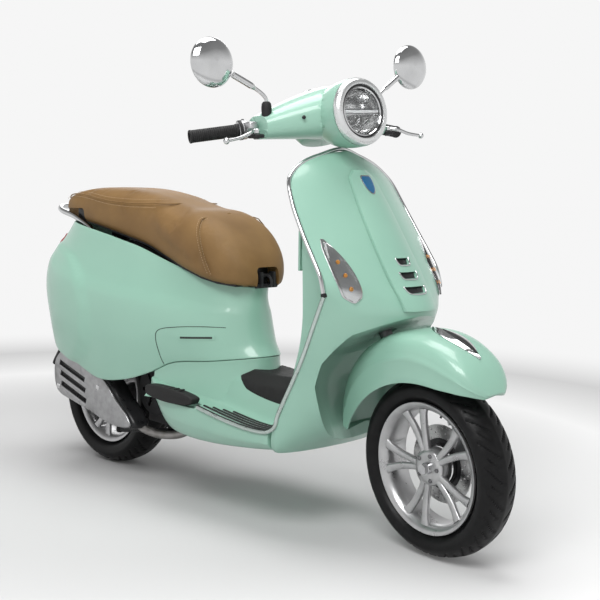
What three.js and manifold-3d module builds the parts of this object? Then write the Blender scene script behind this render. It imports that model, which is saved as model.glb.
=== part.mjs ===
// A step-through moped scooter with a pressed-steel body, 12-inch wheels and a rear engine unit.
// Millimetres. +X is forward, +Y is the rider's left, +Z is up.
// The origin is on the ground, under the rear axle, in the scooter's middle plane.
import * as THREE from "three";
import { mergeVertices } from "three/addons/utils/BufferGeometryUtils.js";
import Module from "manifold-3d";

const wasm = await Module();
wasm.setup();

// ---- Driving dimensions ----
const WHEELBASE = 1334;
const FRONT_TYRE = { radius: 229, width: 112 };
const REAR_TYRE = { radius: 236, width: 122 };
const TREAD_FLAT = 22; // half width of the flat band on which a tyre stands
const RIM_RADIUS = 166;
const RAKE = THREE.MathUtils.degToRad(25.5);
const TRAIL = 80;
const REST_STEER = THREE.MathUtils.degToRad(-8); // the bars are turned a little to the right
const STEER_LIFT = 1.1; // turning the bars lowers the front wheel by this much
const WALL = 5; // body panel thickness as modelled
const GAP = 0.4; // clearance between neighbouring pieces

const SHIELD_BACK = 955; // the plane where the leg shield meets the floor
const LAMP = { x: 1078, z: 1108, tilt: THREE.MathUtils.degToRad(7) };
const MIRROR = { x: 916, y: 338, z: 1238, radius: 62 };
const GRIP_IN = new THREE.Vector3(880, 206, 1074);
const GRIP_OUT = new THREE.Vector3(833, 340, 1060);
const ENGINE_PIVOT = { x: 455, z: 262 };
const ARM_PIVOT = { x: 1404, z: 196 };
const STAND_PIVOT = { x: 352, z: 163 };

// ---- Materials ----
const finish = (color, roughness, metalness) => new THREE.MeshStandardMaterial(
  { color, roughness, metalness }
);
const PAINT = finish(0x9fd0b8, 0.25, 0.1);
const CHROME = finish(0xd5d7da, 0.12, 1);
const ALLOY = finish(0xa9abad, 0.35, 0.9);
const STEEL = finish(0x77797c, 0.4, 0.9);
const BLACK = finish(0x1b1c1d, 0.6, 0);
const RUBBER = finish(0x141414, 0.85, 0);
const LEATHER = finish(0x8a6238, 0.6, 0);
const LENS = finish(0xe6ebee, 0.08, 0);
const RED_LENS = finish(0xa3141c, 0.15, 0);

// ---- Small helpers ----
const { degToRad } = THREE.MathUtils;
const v3 = (x, y, z) => new THREE.Vector3(x, y, z);
const mix = (a, b, t) => a + (b - a) * t;
const clamp01 = (t) => Math.min(1, Math.max(0, t));

// A smooth function through [input, value] pairs, with the inputs rising.
function smooth(pairs) {
  const slope = (i) => {
    const a = pairs[Math.max(i - 1, 0)];
    const b = pairs[Math.min(i + 1, pairs.length - 1)];
    return (b[1] - a[1]) / (b[0] - a[0]);
  };
  return (x) => {
    if (x <= pairs[0][0]) return pairs[0][1];
    if (x >= pairs.at(-1)[0]) return pairs.at(-1)[1];
    let i = 0;
    while (pairs[i + 1][0] < x) i++;
    const [x0, y0] = pairs[i];
    const [x1, y1] = pairs[i + 1];
    const w = x1 - x0;
    const t = (x - x0) / w;
    const rest = 1 - t;
    return (
      y0 * (1 + 2 * t) * rest * rest + slope(i) * w * t * rest * rest +
      y1 * t * t * (3 - 2 * t) - slope(i + 1) * w * t * t * rest
    );
  };
}

// Rings of equal length, joined into a surface; closed at both ends by fans, or end to end when looped.
function loft(rings, looped = false) {
  const n = rings[0].length;
  const positions = rings.flat().flatMap((p) => [p.x, p.y, p.z]);
  const index = [];
  const rows = looped ? rings.length : rings.length - 1;
  for (let i = 0; i < rows; i++) {
    const next = (i + 1) % rings.length;
    for (let j = 0; j < n; j++) {
      const k = (j + 1) % n;
      index.push(i * n + j, i * n + k, next * n + k, i * n + j, next * n + k, next * n + j);
    }
  }
  // An end face is laddered across, from the ring's first half to its second.
  for (const [row, forward] of looped ? [] : [[0, false], [rings.length - 1, true]]) {
    for (let j = 0; j + 1 <= n - 2 - j; j++) {
      const [a, b, c, d] = [j, j + 1, n - 2 - j, n - 1 - j].map((k) => row * n + k);
      index.push(...(forward ? [a, c, d] : [a, d, c]));
      if (b < c) index.push(...(forward ? [a, b, c] : [a, c, b]));
    }
  }
  const geometry = new THREE.BufferGeometry();
  geometry.setAttribute("position", new THREE.Float32BufferAttribute(positions, 3));
  geometry.setIndex(index);
  return facingOut(geometry);
}

// The geometry with its faces turned outwards.
function facingOut(geometry) {
  const p = geometry.getAttribute("position");
  const index = [...geometry.index.array];
  const [a, b, c] = [v3(0, 0, 0), v3(0, 0, 0), v3(0, 0, 0)];
  let volume = 0;
  for (let i = 0; i < index.length; i += 3) {
    a.fromBufferAttribute(p, index[i]);
    b.fromBufferAttribute(p, index[i + 1]);
    c.fromBufferAttribute(p, index[i + 2]);
    volume += a.dot(b.cross(c));
  }
  if (volume < 0) {
    for (
      let i = 0; i < index.length; i += 3
    ) [index[i + 1], index[i + 2]] = [index[i + 2], index[i + 1]];
    geometry.setIndex(index);
  }
  return geometry;
}

function solid(geometry) {
  const bare = geometry.clone();
  for (const name of Object.keys(bare.attributes)) {
    if (name !== "position") bare.deleteAttribute(name);
  }
  const merged = mergeVertices(bare, 1e-3);
  return new wasm.Manifold(
    new wasm.Mesh({
      numProp: 3,
      vertProperties: merged.getAttribute("position").array,
      triVerts: new Uint32Array(merged.index.array),
    }),
  );
}

function geometryOf(manifold) {
  const mesh = manifold.getMesh();
  const geometry = new THREE.BufferGeometry();
  geometry.setAttribute(
    "position", new THREE.BufferAttribute(new Float32Array(mesh.vertProperties), 3),
  );
  geometry.setIndex(new THREE.BufferAttribute(new Uint32Array(mesh.triVerts), 1));
  return geometry;
}

const join = (...parts) => geometryOf(parts.map(solid).reduce((a, b) => a.add(b)));
const cut = (base, ...tools) => geometryOf(
  tools.map(solid).reduce((a, b) => a.subtract(b), solid(base))
);

// The largest piece of a geometry, for a cut that leaves slivers behind.
function mainBody(geometry) {
  const pieces = solid(geometry).decompose();
  return geometryOf(pieces.sort((a, b) => b.volume() - a.volume())[0]);
}

const place = (geometry, x, y, z) => geometry.translate(x, y, z);
const box = (x0, x1, y0, y1, z0, z1) =>
  place(new THREE.BoxGeometry(x1 - x0, y1 - y0, z1 - z0), (x0 + x1) / 2, (y0 + y1) / 2, (z0 + z1) / 2);

// A cylinder between two points.
function rod(from, to, radius, sides = 12, endRadius = radius) {
  const along = to.clone().sub(from);
  const g = new THREE.CylinderGeometry(endRadius, radius, along.length(), sides);
  g.applyQuaternion(new THREE.Quaternion().setFromUnitVectors(v3(0, 1, 0), along.clone().normalize()));
  return g.translate(...from.clone().add(to).multiplyScalar(0.5).toArray());
}

// A body turned about an axis along +Y through (x, z), from [radius, y] points that start and end on
// the axis.
function turned(profile, x, z, sides) {
  const g = new THREE.LatheGeometry(profile.map(([r, y]) => new THREE.Vector2(r, y)), sides);
  return facingOut(
    mergeVertices(g.deleteAttribute("normal").deleteAttribute("uv").translate(x, 0, z), 1e-3)
  );
}

// A round bar bent along a smooth curve.
function bentTube(points, radius, steps = 16, sides = 8, closed = false) {
  const section = new THREE.Shape().absarc(0, 0, radius, 0, 2 * Math.PI);
  const path = new THREE.CatmullRomCurve3(points.map((p) => v3(...p)), closed, "centripetal");
  const g = new THREE.ExtrudeGeometry(
    section, { steps, curveSegments: sides / 2, extrudePath: path, bevelEnabled: false },
  );
  return facingOut(mergeVertices(g.deleteAttribute("normal").deleteAttribute("uv"), 1e-3));
}

// A plate cut from an outline in the XZ plane, from y0 to y1.
function plate(outline, y0, y1, holes = [], curveSegments = 6) {
  const shape = outline instanceof THREE.Shape ? outline : new THREE.Shape(
    outline.map(([x, z]) => new THREE.Vector2(x, z))
  );
  shape.holes.push(...holes);
  const g = new THREE.ExtrudeGeometry(shape, { depth: y1 - y0, bevelEnabled: false, curveSegments });
  g.rotateX(Math.PI / 2).translate(0, y1, 0);
  return facingOut(mergeVertices(g.deleteAttribute("normal").deleteAttribute("uv"), 1e-3));
}

// An outline round two circles, as of a belt over two pulleys.
function stadium(x0, z0, r0, x1, z1, r1) {
  const angle = Math.atan2(z1 - z0, x1 - x0);
  const lean = Math.acos((r0 - r1) / Math.hypot(x1 - x0, z1 - z0));
  const shape = new THREE.Shape();
  shape.absarc(x0, z0, r0, angle + lean, angle - lean + 2 * Math.PI, false);
  shape.absarc(x1, z1, r1, angle - lean, angle + lean, false);
  return shape;
}

// The steering axis leans back from its point on the ground, ahead of the front wheel's contact.
const AXIS_FOOT = v3(WHEELBASE + TRAIL, 0, 0);
const AXIS = v3(-Math.sin(RAKE), 0, Math.cos(RAKE));
const onAxis = (height, y = 0) => AXIS_FOOT.clone().addScaledVector(AXIS, height).setY(y);

// A body turned about the steering axis, from [radius, height along the axis] points.
function aboutSteering(profile, sides) {
  const g = new THREE.LatheGeometry(profile.map(([r, h]) => new THREE.Vector2(r, h)), sides);
  g.applyQuaternion(new THREE.Quaternion().setFromUnitVectors(v3(0, 1, 0), AXIS));
  g.deleteAttribute("normal").deleteAttribute("uv");
  return facingOut(mergeVertices(g.translate(...AXIS_FOOT.toArray()), 1e-3));
}

const mirrored = (points) => points.map(([x, y, z]) => [x, -y, z]);

// ---- Groups ----
const scooter = new THREE.Group();
const steering = new THREE.Group(); // turned to the rest steering angle about the steering axis
steering.quaternion.setFromAxisAngle(AXIS, REST_STEER);
steering.position.copy(AXIS_FOOT).sub(AXIS_FOOT.clone().applyQuaternion(steering.quaternion));
steering.position.z += STEER_LIFT;
scooter.add(steering);

function add(parent, name, geometry, material) {
  const mesh = new THREE.Mesh(geometry, material);
  mesh.name = name;
  parent.add(mesh);
}

// ---- Body: leg shield ----
// Half width, edge and centre positions of the shield at each height.
const shieldHalfWidth = smooth([
  [228, 202], [240, 215], [262, 223], [300, 226], [600, 226], [700, 225], [790, 220], [880, 209],
  [930, 194], [968, 152],
  [992, 96], [1003, 50],
]);
const shieldEdgeX = smooth([
  [228, 968], [283, 980], [332, 998], [403, 1037], [483, 1080], [586, 1125], [662, 1156], [705, 1139],
  [788, 1084],
  [870, 1032], [925, 1003], [968, 990], [1003, 992],
]);
const shieldFrontX = smooth([
  [228, 1010], [280, 1085], [360, 1160], [480, 1215], [600, 1272], [640, 1256], [677, 1228],
  [790, 1156], [905, 1084],
  [960, 1045], [1003, 1012],
]);
const shieldBackDepth = smooth([
  [228, 18], [300, 40], [400, 100], [500, 105], [600, 60], [700, 20], [850, 14], [1003, 12],
]);
// How far the shield bows forward, from 0 at its edge to 1 in the middle; low down its corners are
// rounder.
const SHIELD_BOW = 1.9;
const shieldCorner = smooth([[228, 0.55], [300, 0.62], [500, 1], [1003, 1]]);
const shieldBow = (z, y) => (
  1 - Math.min(1, Math.abs(y) / shieldHalfWidth(z)) ** SHIELD_BOW
) ** shieldCorner(z);
const shieldFace = (z, y) => mix(shieldEdgeX(z), shieldFrontX(z), shieldBow(z, y));
const shieldCrown = (z) => 7 * clamp01((z - 900) / 80);

function shieldRing(z, count = 11) {
  const w = shieldHalfWidth(z);
  const edge = shieldEdgeX(z);
  const front = [];
  const back = [];
  for (let i = 0; i < count; i++) {
    const y = ((2 * i) / (count - 1) - 1) * w;
    const height = z + shieldCrown(z) * shieldBow(z, y);
    front.push(v3(shieldFace(z, y), y, height));
    const bow = 1 - Math.abs(y / w) ** SHIELD_BOW;
    back.push(v3(edge - Math.min(10 + shieldBackDepth(z) * bow, edge - SHIELD_BACK), y, height));
  }
  return [...front, ...back.reverse()];
}

// The hollow in which the fender and the front wheel turn.
const steeringPocket = aboutSteering(
  [[0, 40], [224, 40], [224, 515], [205, 560], [160, 600], [0, 604]], 32,
);
const steeringBore = aboutSteering([[0, 560], [31, 560], [31, 1120], [0, 1120]], 14);

function legShield() {
  const heights = [228, 240, 262, 300, 350, 420, 500, 580, 662, 705, 788, 870, 930, 968, 992, 1003];
  return mainBody(cut(loft(heights.map((z) => shieldRing(z))), steeringPocket, steeringBore));
}
add(scooter, "leg_shield", legShield(), PAINT);

// The centre cover that stands on the shield, over the horn.
const coverHalfWidth = smooth([[612, 60], [700, 66], [850, 60], [940, 46], [962, 36]]);
function hornCover() {
  const rings = [];
  for (const z of [612, 650, 700, 760, 820, 880, 930, 955]) {
    const w = coverHalfWidth(z);
    const ring = [];
    for (const lift of [16, 1]) {
      const row = [];
      for (const u of [-1, -0.6, 0, 0.6, 1]) {
        const y = u * w;
        const x = shieldFace(z, y) + (lift > 1 ? lift * (1 - 0.4 * u * u) : lift);
        row.push(v3(x, y, z + shieldCrown(z) * shieldBow(z, y)));
      }
      ring.push(...(lift > 1 ? row : row.reverse()));
    }
    rings.push(ring);
  }
  return mainBody(cut(loft(rings), shieldWithGap()));
}
// The shield moved forward by the gap, which the cover stands clear of.
function shieldWithGap() {
  return place(loft([580, 662, 705, 788, 870, 930, 968].map((z) => shieldRing(z))), GAP, 0, 0);
}
add(scooter, "horn_cover", hornCover(), PAINT);

// The cover behind the shield, with the glove box opening in it.
const GLOVE_BOX = { y: 90, low: 692, high: 802, depth: 43 };
const innerBackX = smooth([[420, 885], [520, 918], [600, 930], [930, 930]]);
const innerHalfWidth = smooth([[420, 150], [640, 165], [860, 165], [930, 132]]);
const KEY = { y: -52, z: 895 };
function innerShield() {
  const rings = [420, 500, 580, 640, GLOVE_BOX.low, GLOVE_BOX.high, 866, 930].map((z) => {
    const w = innerHalfWidth(z);
    const front = [];
    const back = [];
    for (let i = 0; i <= 8; i++) {
      const u = i / 4 - 1;
      const bow = 1 - Math.abs((u * w) / shieldHalfWidth(z)) ** SHIELD_BOW;
      const limit = shieldEdgeX(z) - 10 - shieldBackDepth(z) * bow;
      front.push(v3(limit - 5, u * w, z));
      back.push(v3(Math.min(innerBackX(z) + 85 * u * u, limit - 12), u * w, z));
    }
    return [...front, ...back.reverse()];
  });
  const pocket = box(
    860, innerBackX(760) + GLOVE_BOX.depth, -GLOVE_BOX.y, GLOVE_BOX.y, GLOVE_BOX.low,
    GLOVE_BOX.high,
  );
  const lockHole = rod(v3(860, KEY.y, KEY.z), v3(955, KEY.y, KEY.z), 15, 14);
  const neckRoom = aboutSteering([[0, 560], [46, 560], [46, 1120], [0, 1120]], 14);
  return mainBody(cut(loft(rings), pocket, lockHole, neckRoom, steeringPocket));
}
add(scooter, "inner_shield", innerShield(), PAINT);

// The bright strip round the shield's edge.
function shieldTrim() {
  const points = [];
  for (const z of [655, 700, 788, 870, 925, 955, 980, 998]) {
    points.push([shieldEdgeX(z) - 5, shieldHalfWidth(z) + 5.5, z]);
  }
  const top = [shieldEdgeX(1003) - 2, 0, 1016];
  return bentTube([...mirrored(points), top, ...points.reverse()], 4.5, 30, 6);
}
add(scooter, "shield_trim", mainBody(cut(shieldTrim(), legShield())), CHROME);

// ---- Body: rear shell ----
// Heights of the shell's lower and upper rims, and its plan at a level from 0, low, to 1, high.
const shellLowZ = smooth([
  [-250, 500], [-180, 482], [-131, 458], [-72, 396], [0, 370], [63, 350], [170, 319], [290, 331],
  [400, 366], [480, 402], [600, 416], [745, 436],
]);
const shellHighZ = smooth([
  [-250, 806], [-100, 798], [0, 787], [100, 771], [200, 752], [300, 730], [400, 698], [500, 666],
  [600, 640], [745, 624],
]);
const shellFront = smooth([[0, 742], [0.2, 716], [0.5, 698], [0.8, 692], [1, 700]]);
const shellRear = smooth([[0, -226], [0.25, -244], [0.5, -240], [0.75, -205], [1, -140]]);
const shellWidth = smooth([
  [0, 200], [0.12, 208], [0.35, 216], [0.6, 208], [0.72, 186], [0.86, 164], [1, 148],
]);
const SHELL_WIDEST_X = 70;
const SHELL_SIDES = 36;
const REAR_TOP = [-122, 550]; // the rear damper's mounts, in the XZ plane
const REAR_FOOT = [-60, 332];

function shellPoint(level, angle, inset = 0) {
  const c = Math.cos(angle);
  const s = Math.sin(angle);
  const reach = c > 0 ? shellFront(level) - SHELL_WIDEST_X : SHELL_WIDEST_X - shellRear(level);
  const power = c > 0 ? 1 : 0.86;
  const x = SHELL_WIDEST_X + (reach - inset) * Math.sign(c) * Math.abs(c) ** power;
  const y = (shellWidth(level) - inset) * Math.sign(s) * Math.abs(s) ** power;
  return v3(x, y, mix(shellLowZ(x), shellHighZ(x), level));
}
function rearShell() {
  const levels = [0, 0.12, 0.35, 0.6, 0.72, 0.86, 1];
  const ring = (level, inset) => {
    const points = [];
    for (let i = 0; i < SHELL_SIDES; i++) {
      points.push(shellPoint(level, (i / SHELL_SIDES) * 2 * Math.PI, inset));
    }
    return points;
  };
  const outer = levels.map((level) => ring(level, 0));
  const inner = levels.map((level) => ring(level, WALL)).reverse();
  const beam = box(-138, -106, -173, 173, 566, 580);
  const ears = [-1, 1].map(
    (s) => box(-132, -112, 122 + s * 13 - 3, 122 + s * 13 + 3, REAR_TOP[1] - 14, 570)
  );
  const pinHole = rod(v3(REAR_TOP[0], 100, REAR_TOP[1]), v3(REAR_TOP[0], 145, REAR_TOP[1]), 5, 8);
  return cut(join(loft([...outer, ...inner], true), beam, ...ears), pinHole);
}
add(scooter, "rear_body", rearShell(), PAINT);

// ---- Body: floor ----
const floorEdgeZ = smooth([
  [400, 356], [480, 336], [560, 324], [650, 311], [770, 291], [880, 279], [955, 281],
]);
const floorTunnelZ = smooth([
  [400, 366], [520, 378], [620, 396], [700, 396], [780, 390], [880, 392], [955, 404],
]);
const floorBottomZ = smooth([
  [400, 318], [450, 262], [500, 226], [560, 208], [700, 204], [850, 214], [955, 226],
]);
const floorWidth = smooth([[400, 176], [450, 196], [520, 218], [640, 226], [860, 226], [955, 225]]);
// The raised part under the rear shell's rim, which spreads out to the floor.
function hump() {
  const rings = [0, 0.4, 0.75, 1].map((t) => {
    const ring = [];
    for (let i = 0; i < SHELL_SIDES; i++) {
      const p = shellPoint(0, (i / SHELL_SIDES) * 2 * Math.PI, 3 - 40 * t * t);
      ring.push(v3(p.x, p.y, mix(p.z - 2, 300, t)));
    }
    return ring;
  });
  return loft(rings);
}
// The notches in the floor's edge in which the footrests lie.
const FOOTREST = { x0: 452, x1: 662, inner: 204, outer: 238, z0: 304, z1: 346, hingeZ: 338 };
const footrestRoom = (side) =>
  box(
    FOOTREST.x0 - 3, FOOTREST.x1 + 3, Math.min(side * 198, side * 260),
    Math.max(side * 198, side * 260), 301, 400,
  );
function floor() {
  const rings = [410, 450, 500, 560, 640, 740, 860, SHIELD_BACK - GAP].map((x) => {
    const w = floorWidth(x);
    const edge = floorEdgeZ(x);
    const top = floorTunnelZ(x);
    const low = floorBottomZ(x);
    const half = [
      [0.72, low], [0.9, low + 8], [1, mix(low, edge, 0.45)], [1, edge - 8], [0.96, edge],
      [0.52, edge + 3], [0.4, mix(edge, top, 0.7)], [0.25, top],
    ];
    const right = half.map(([k, z]) => v3(x, -k * w, z));
    const left = half.map(([k, z]) => v3(x, k * w, z)).reverse();
    return [...right, ...left];
  });
  const engineRoom = box(380, 500, -130, 160, 100, 352);
  const pivotRoom = box(480, 540, -110, 110, 150, 330);
  const body = join(loft(rings), cut(hump(), box(-400, 412, -300, 300, 0, 900)));
  return mainBody(cut(body, engineRoom, pivotRoom, footrestRoom(-1), footrestRoom(1)));
}
add(scooter, "floor", floor(), PAINT);

// The tray between the floor and the rear shell, which carries the engine's pivot.
const PIVOT_LUG = 34;
function pivotBracket() {
  const lugs = [-1, 1].map((side) =>
    rod(
      v3(ENGINE_PIVOT.x + 62, side * (PIVOT_LUG + 12), ENGINE_PIVOT.z),
      v3(ENGINE_PIVOT.x + 62, side * PIVOT_LUG, ENGINE_PIVOT.z), 20, 14,
    ),
  );
  return join(box(505, 539, -70, 70, 236, 288), ...lugs);
}
add(
  scooter, "engine_mount", cut(pivotBracket(), rod(v3(455, -90, 262), v3(455, 90, 262), 20.6, 16)),
  STEEL,
);

// The tub under the seat, and the fuel tank behind it.
const TUB = { x0: 214, x1: 540, y: 92, low: 500 };
function tub() {
  const top = (x) => shellHighZ(x) - 6;
  const wedge = (x0, x1, y, low, lift) =>
    plate(
      [
        [x0, low], [x1, low], [x1, top(x1) + lift], [(x0 + x1) / 2, top((x0 + x1) / 2) + lift],
        [x0, top(x0) + lift],
      ],
      -y, y,
    );
  return cut(
    wedge(TUB.x0, TUB.x1, TUB.y, TUB.low, 0),
    wedge(TUB.x0 + WALL, TUB.x1 - WALL, TUB.y - WALL, TUB.low + WALL, 30),
  );
}
add(scooter, "seat_tub", tub(), BLACK);

function fuelTank() {
  const rings = [[-96, 60], [-84, 84], [0, 100], [130, 100], [196, 92], [206, 78]].map(([x, w]) => {
    const ring = [];
    for (let i = 0; i < 16; i++) {
      const a = (i / 16) * 2 * Math.PI;
      const round = (t) => Math.sign(t) * Math.abs(t) ** 0.55;
      ring.push(v3(x, w * round(Math.cos(a)), 652 + 88 * round(Math.sin(a))));
    }
    return ring;
  });
  const neck = rod(v3(20, 0, 730), v3(20, 0, 752), 26, 16);
  return join(loft(rings), neck);
}
add(scooter, "fuel_tank", fuelTank(), BLACK);
add(
  scooter, "fuel_cap",
  join(rod(v3(20, 0, 753), v3(20, 0, 764), 31, 18), box(-4, 44, -6, 6, 764, 772)), BLACK,
);

// ---- Body: small pieces ----
function floorMat() {
  const rings = [600, 660, 720, 780, 860, 935].map((x) => {
    const ring = [];
    for (const lift of [1, 7]) {
      const row = [-1, -0.6, 0, 0.6, 1].map((u) => {
        const y = u * 100;
        const t = Math.abs(y) / floorWidth(x);
        const ground = t <= 0.25 ? floorTunnelZ(x) : mix(
          floorTunnelZ(x), floorEdgeZ(x), clamp01((t - 0.25) / 0.27),
        );
        return v3(x, y, ground + lift + 2);
      });
      ring.push(...(lift === 1 ? row : row.reverse()));
    }
    return ring;
  });
  const nose = [];
  for (const level of [-0.3, 0.3]) {
    const ring = [];
    for (let i = 0; i < SHELL_SIDES; i++) {
      const p = shellPoint(0, (i / SHELL_SIDES) * 2 * Math.PI, -4);
      ring.push(p.setZ(400 + level * 500));
    }
    nose.push(ring);
  }
  return mainBody(cut(loft(rings), loft(nose), place(floor(), 0, 0, 0.5), innerShield()));
}
add(scooter, "floor_mat", floorMat(), RUBBER);

function grabRail() {
  const side = [[-10, 92, 768], [-50, 96, 790], [-100, 100, 812], [-180, 96, 830], [-232, 62, 841]];
  return bentTube([...side, [-250, 0, 843], ...mirrored(side).reverse()], 9, 24, 8);
}
add(scooter, "grab_rail", grabRail(), CHROME);

function lampOnShell(y0, y1, levels, inset, outset) {
  const rings = levels.map((level) => {
    const ring = [];
    for (const out of [outset, inset]) {
      const row = [];
      for (let i = 0; i <= 6; i++) {
        const a = Math.PI + mix(y0, y1, i / 6);
        row.push(shellPoint(level, a, -out));
      }
      ring.push(...(out === outset ? row : row.reverse()));
    }
    return ring;
  });
  return mainBody(cut(loft(rings), place(rearShell(), -0.5, 0, 0)));
}
add(scooter, "tail_lamp", lampOnShell(-0.34, 0.34, [0.56, 0.62, 0.7, 0.78, 0.84], 1, 22), RED_LENS);

// The rear mudguard with the plate holder's flat face on its back.
function mudguard() {
  const path = [
    [-108, 528, 38, 5], [-186, 474, 38, 5], [-214, 428, 40, 5], [-240, 382, 54, 4],
    [-282, 314, 66, 4], [-290, 298, 66, 4],
  ];
  const rings = path.map(
    ([x, z, w, t]) => [v3(x - t, -w, z), v3(x + t, -w, z - t), v3(x + t, w, z - t), v3(x - t, w, z)]
  );
  return loft(rings);
}
add(scooter, "rear_mudguard", mudguard(), BLACK);

// Front indicators sit in the shield's face.
function frontIndicator(side) {
  const rings = [];
  for (
    const [z, y0, y1] of [
      [638, 158, 180], [652, 150, 194], [690, 148, 202], [730, 156, 202], [765, 172, 200],
      [784, 184, 195],
    ]
  ) {
    const ring = [];
    for (const lift of [5, 1]) {
      const row = [0, 0.5, 1].map((t) => {
        const y = mix(y0, y1, t);
        return v3(shieldFace(z, y) + lift, side * y, z);
      });
      ring.push(...(lift === 5 ? row : row.reverse()));
    }
    rings.push(ring);
  }
  return mainBody(cut(loft(rings), shieldWithGap()));
}
add(scooter, "front_indicator_right", frontIndicator(-1), LENS);
add(scooter, "front_indicator_left", frontIndicator(1), LENS);

// ---- Seat ----
const seatTopZ = smooth([
  [-172, 862], [-140, 886], [-60, 902], [60, 908], [190, 904], [310, 887], [400, 864], [460, 850],
  [530, 840], [605, 806], [665, 756], [705, 704], [722, 668],
]);
const seatWidth = smooth([
  [-172, 78], [-140, 108], [-60, 126], [100, 134], [300, 132], [400, 140], [520, 148], [620, 134],
  [680, 106], [712, 70], [722, 48],
]);
const seatLowZ = (x) => shellHighZ(x) + mix(12, 6, clamp01((x + 150) / 300));
const SEAT_STATIONS = [-172, -150, -100, 0, 100, 190, 300, 400, 480, 560, 620, 675, 708, 722];

function seatRing(x, low, inset) {
  const w = seatWidth(x) - inset;
  const top = seatTopZ(x) - inset;
  const tall = top - low;
  const half = [
    [0.86, low], [0.97, low + 0.12 * tall], [1, low + 0.4 * tall], [0.95, low + 0.72 * tall],
    [0.8, low + 0.9 * tall], [0.5, top - 0.02 * tall], [0.25, top],
  ];
  return [
    ...half.map(([k, z]) => v3(x, -k * w, z)), ...half.map(([k, z]) => v3(x, k * w, z)).reverse(),
  ];
}
// Room at the seat's rear corners for the grab rail, open below.
const railRoom = [-1, 1].map(
  (s) => box(-190, -20, Math.min(s * 80, s * 150), Math.max(s * 80, s * 150), 700, 842)
);
const SEAT_HINGE = { x: 708, z: 634 };
function seatBase() {
  const rings = SEAT_STATIONS.filter((x) => x > -160 && x < 700).map((x) => {
    const w = seatWidth(x) * 0.8;
    const low = seatLowZ(x);
    return [v3(x, -w, low - 4), v3(x, -w, low + 5), v3(x, w, low + 5), v3(x, w, low - 4)];
  });
  const hinge = rod(v3(SEAT_HINGE.x, -40, SEAT_HINGE.z), v3(SEAT_HINGE.x, 40, SEAT_HINGE.z), 6, 10);
  const arm = box(670, 708, -30, 30, 633, 640);
  const ears = [-1, 1].map((s) => box(696, 718, s * 24 - 4, s * 24 + 4, 631, 674));
  return cut(join(loft(rings), hinge, arm, ...ears), ...railRoom);
}
add(scooter, "seat_base", seatBase(), BLACK);
function seatCushion() {
  const clear = loft(SEAT_STATIONS.filter((x) => x > -160 && x < 715).map((x) => {
    const w = seatWidth(x) * 0.8 + 1;
    const low = seatLowZ(x);
    return [v3(x, -w, low - 30), v3(x, -w, low + 6), v3(x, w, low + 6), v3(x, w, low - 30)];
  }));
  const nose = box(664, 756, -44, 44, 600, 690);
  return mainBody(
    cut(loft(SEAT_STATIONS.map((x) => seatRing(x, seatLowZ(x), 0))), clear, nose, ...railRoom)
  );
}
add(scooter, "seat_cushion", seatCushion(), LEATHER);

// The bag hook under the seat's nose, on its own pin.
const HOOK_PIN = { x: 706, z: 664 };
add(
  scooter,
  "bag_hook",
  join(rod(v3(HOOK_PIN.x, -19, HOOK_PIN.z), v3(HOOK_PIN.x, 19, HOOK_PIN.z), 5, 10),
    bentTube(
      [[HOOK_PIN.x, 0, HOOK_PIN.z], [722, 0, 660], [730, 0, 648], [727, 0, 636], [718, 0, 637]],
      4.5, 12, 6,
    )),
  STEEL,
);

// ---- Glove box door, key, footrests ----
function gloveDoor() {
  const x = innerBackX(760) - 1;
  const panel = box(
    x - 8, x - 1, -GLOVE_BOX.y + 2, GLOVE_BOX.y - 2, GLOVE_BOX.low + 2, GLOVE_BOX.high - 2,
  );
  const tray = cut(
    box(x - 2, x + 36, -GLOVE_BOX.y + 8, GLOVE_BOX.y - 8, GLOVE_BOX.low + 6, GLOVE_BOX.low + 60),
    box(x + 1, x + 33, -GLOVE_BOX.y + 11, GLOVE_BOX.y - 11, GLOVE_BOX.low + 9, GLOVE_BOX.low + 80),
  );
  return join(panel, tray);
}
add(scooter, "glove_door", gloveDoor(), PAINT);
add(
  scooter,
  "ignition_key",
  join(
    rod(v3(896, KEY.y, KEY.z), v3(944, KEY.y, KEY.z), 12, 14),
    box(870, 897, KEY.y - 14, KEY.y + 14, KEY.z - 3, KEY.z + 3),
  ),
  STEEL,
);

// A folding footrest for the passenger, on a hinge bar along the floor's edge.
function footrest(side) {
  const { x0, x1, inner, outer, z0, z1, hingeZ } = FOOTREST;
  const outline = [
    [x0, z1 - 12], [x0 + 16, z1], [x1 - 60, z1 - 4], [x1 - 6, z1 - 14], [x1, z1 - 26],
    [x1 - 24, z0 + 4], [x0 + 90, z0], [x0 + 10, z0 + 12],
  ];
  const g = side > 0 ? plate(outline, inner, outer) : plate(outline, -outer, -inner);
  return join(
    g, rod(v3(x0 + 8, side * (inner + 4), hingeZ), v3(x0 + 60, side * (inner + 4), hingeZ), 5, 8),
  );
}
add(scooter, "footrest_right", footrest(-1), RUBBER);
add(scooter, "footrest_left", footrest(1), RUBBER);

// ---- Steering: column, fender, headset ----
function steeringColumn() {
  const upper = aboutSteering([[0, 540], [17, 540], [17, 1060], [0, 1060]], 14);
  const races = aboutSteering([[0, 640], [27, 640], [27, 655], [0, 655]], 12);
  const down = onAxis(545);
  const legPath = [
    down.toArray(), onAxis(528, 24).toArray(), onAxis(500, 58).toArray(),
    [1216, 73, 425], [1270, 73, 398], [1346, 73, 372], [1384, 73, 300], [1398, 73, 206],
  ];
  const leg = bentTube(legPath, 14, 14, 8);
  const boss = rod(v3(ARM_PIVOT.x, 60, ARM_PIVOT.z), v3(ARM_PIVOT.x, 87, ARM_PIVOT.z), 19, 16);
  const bracket = rod(v3(1262, 73, 392), v3(1262, 108, 392), 9, 10);
  return join(upper, races, leg, boss, bracket);
}
add(steering, "steering_column", steeringColumn(), STEEL);

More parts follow.
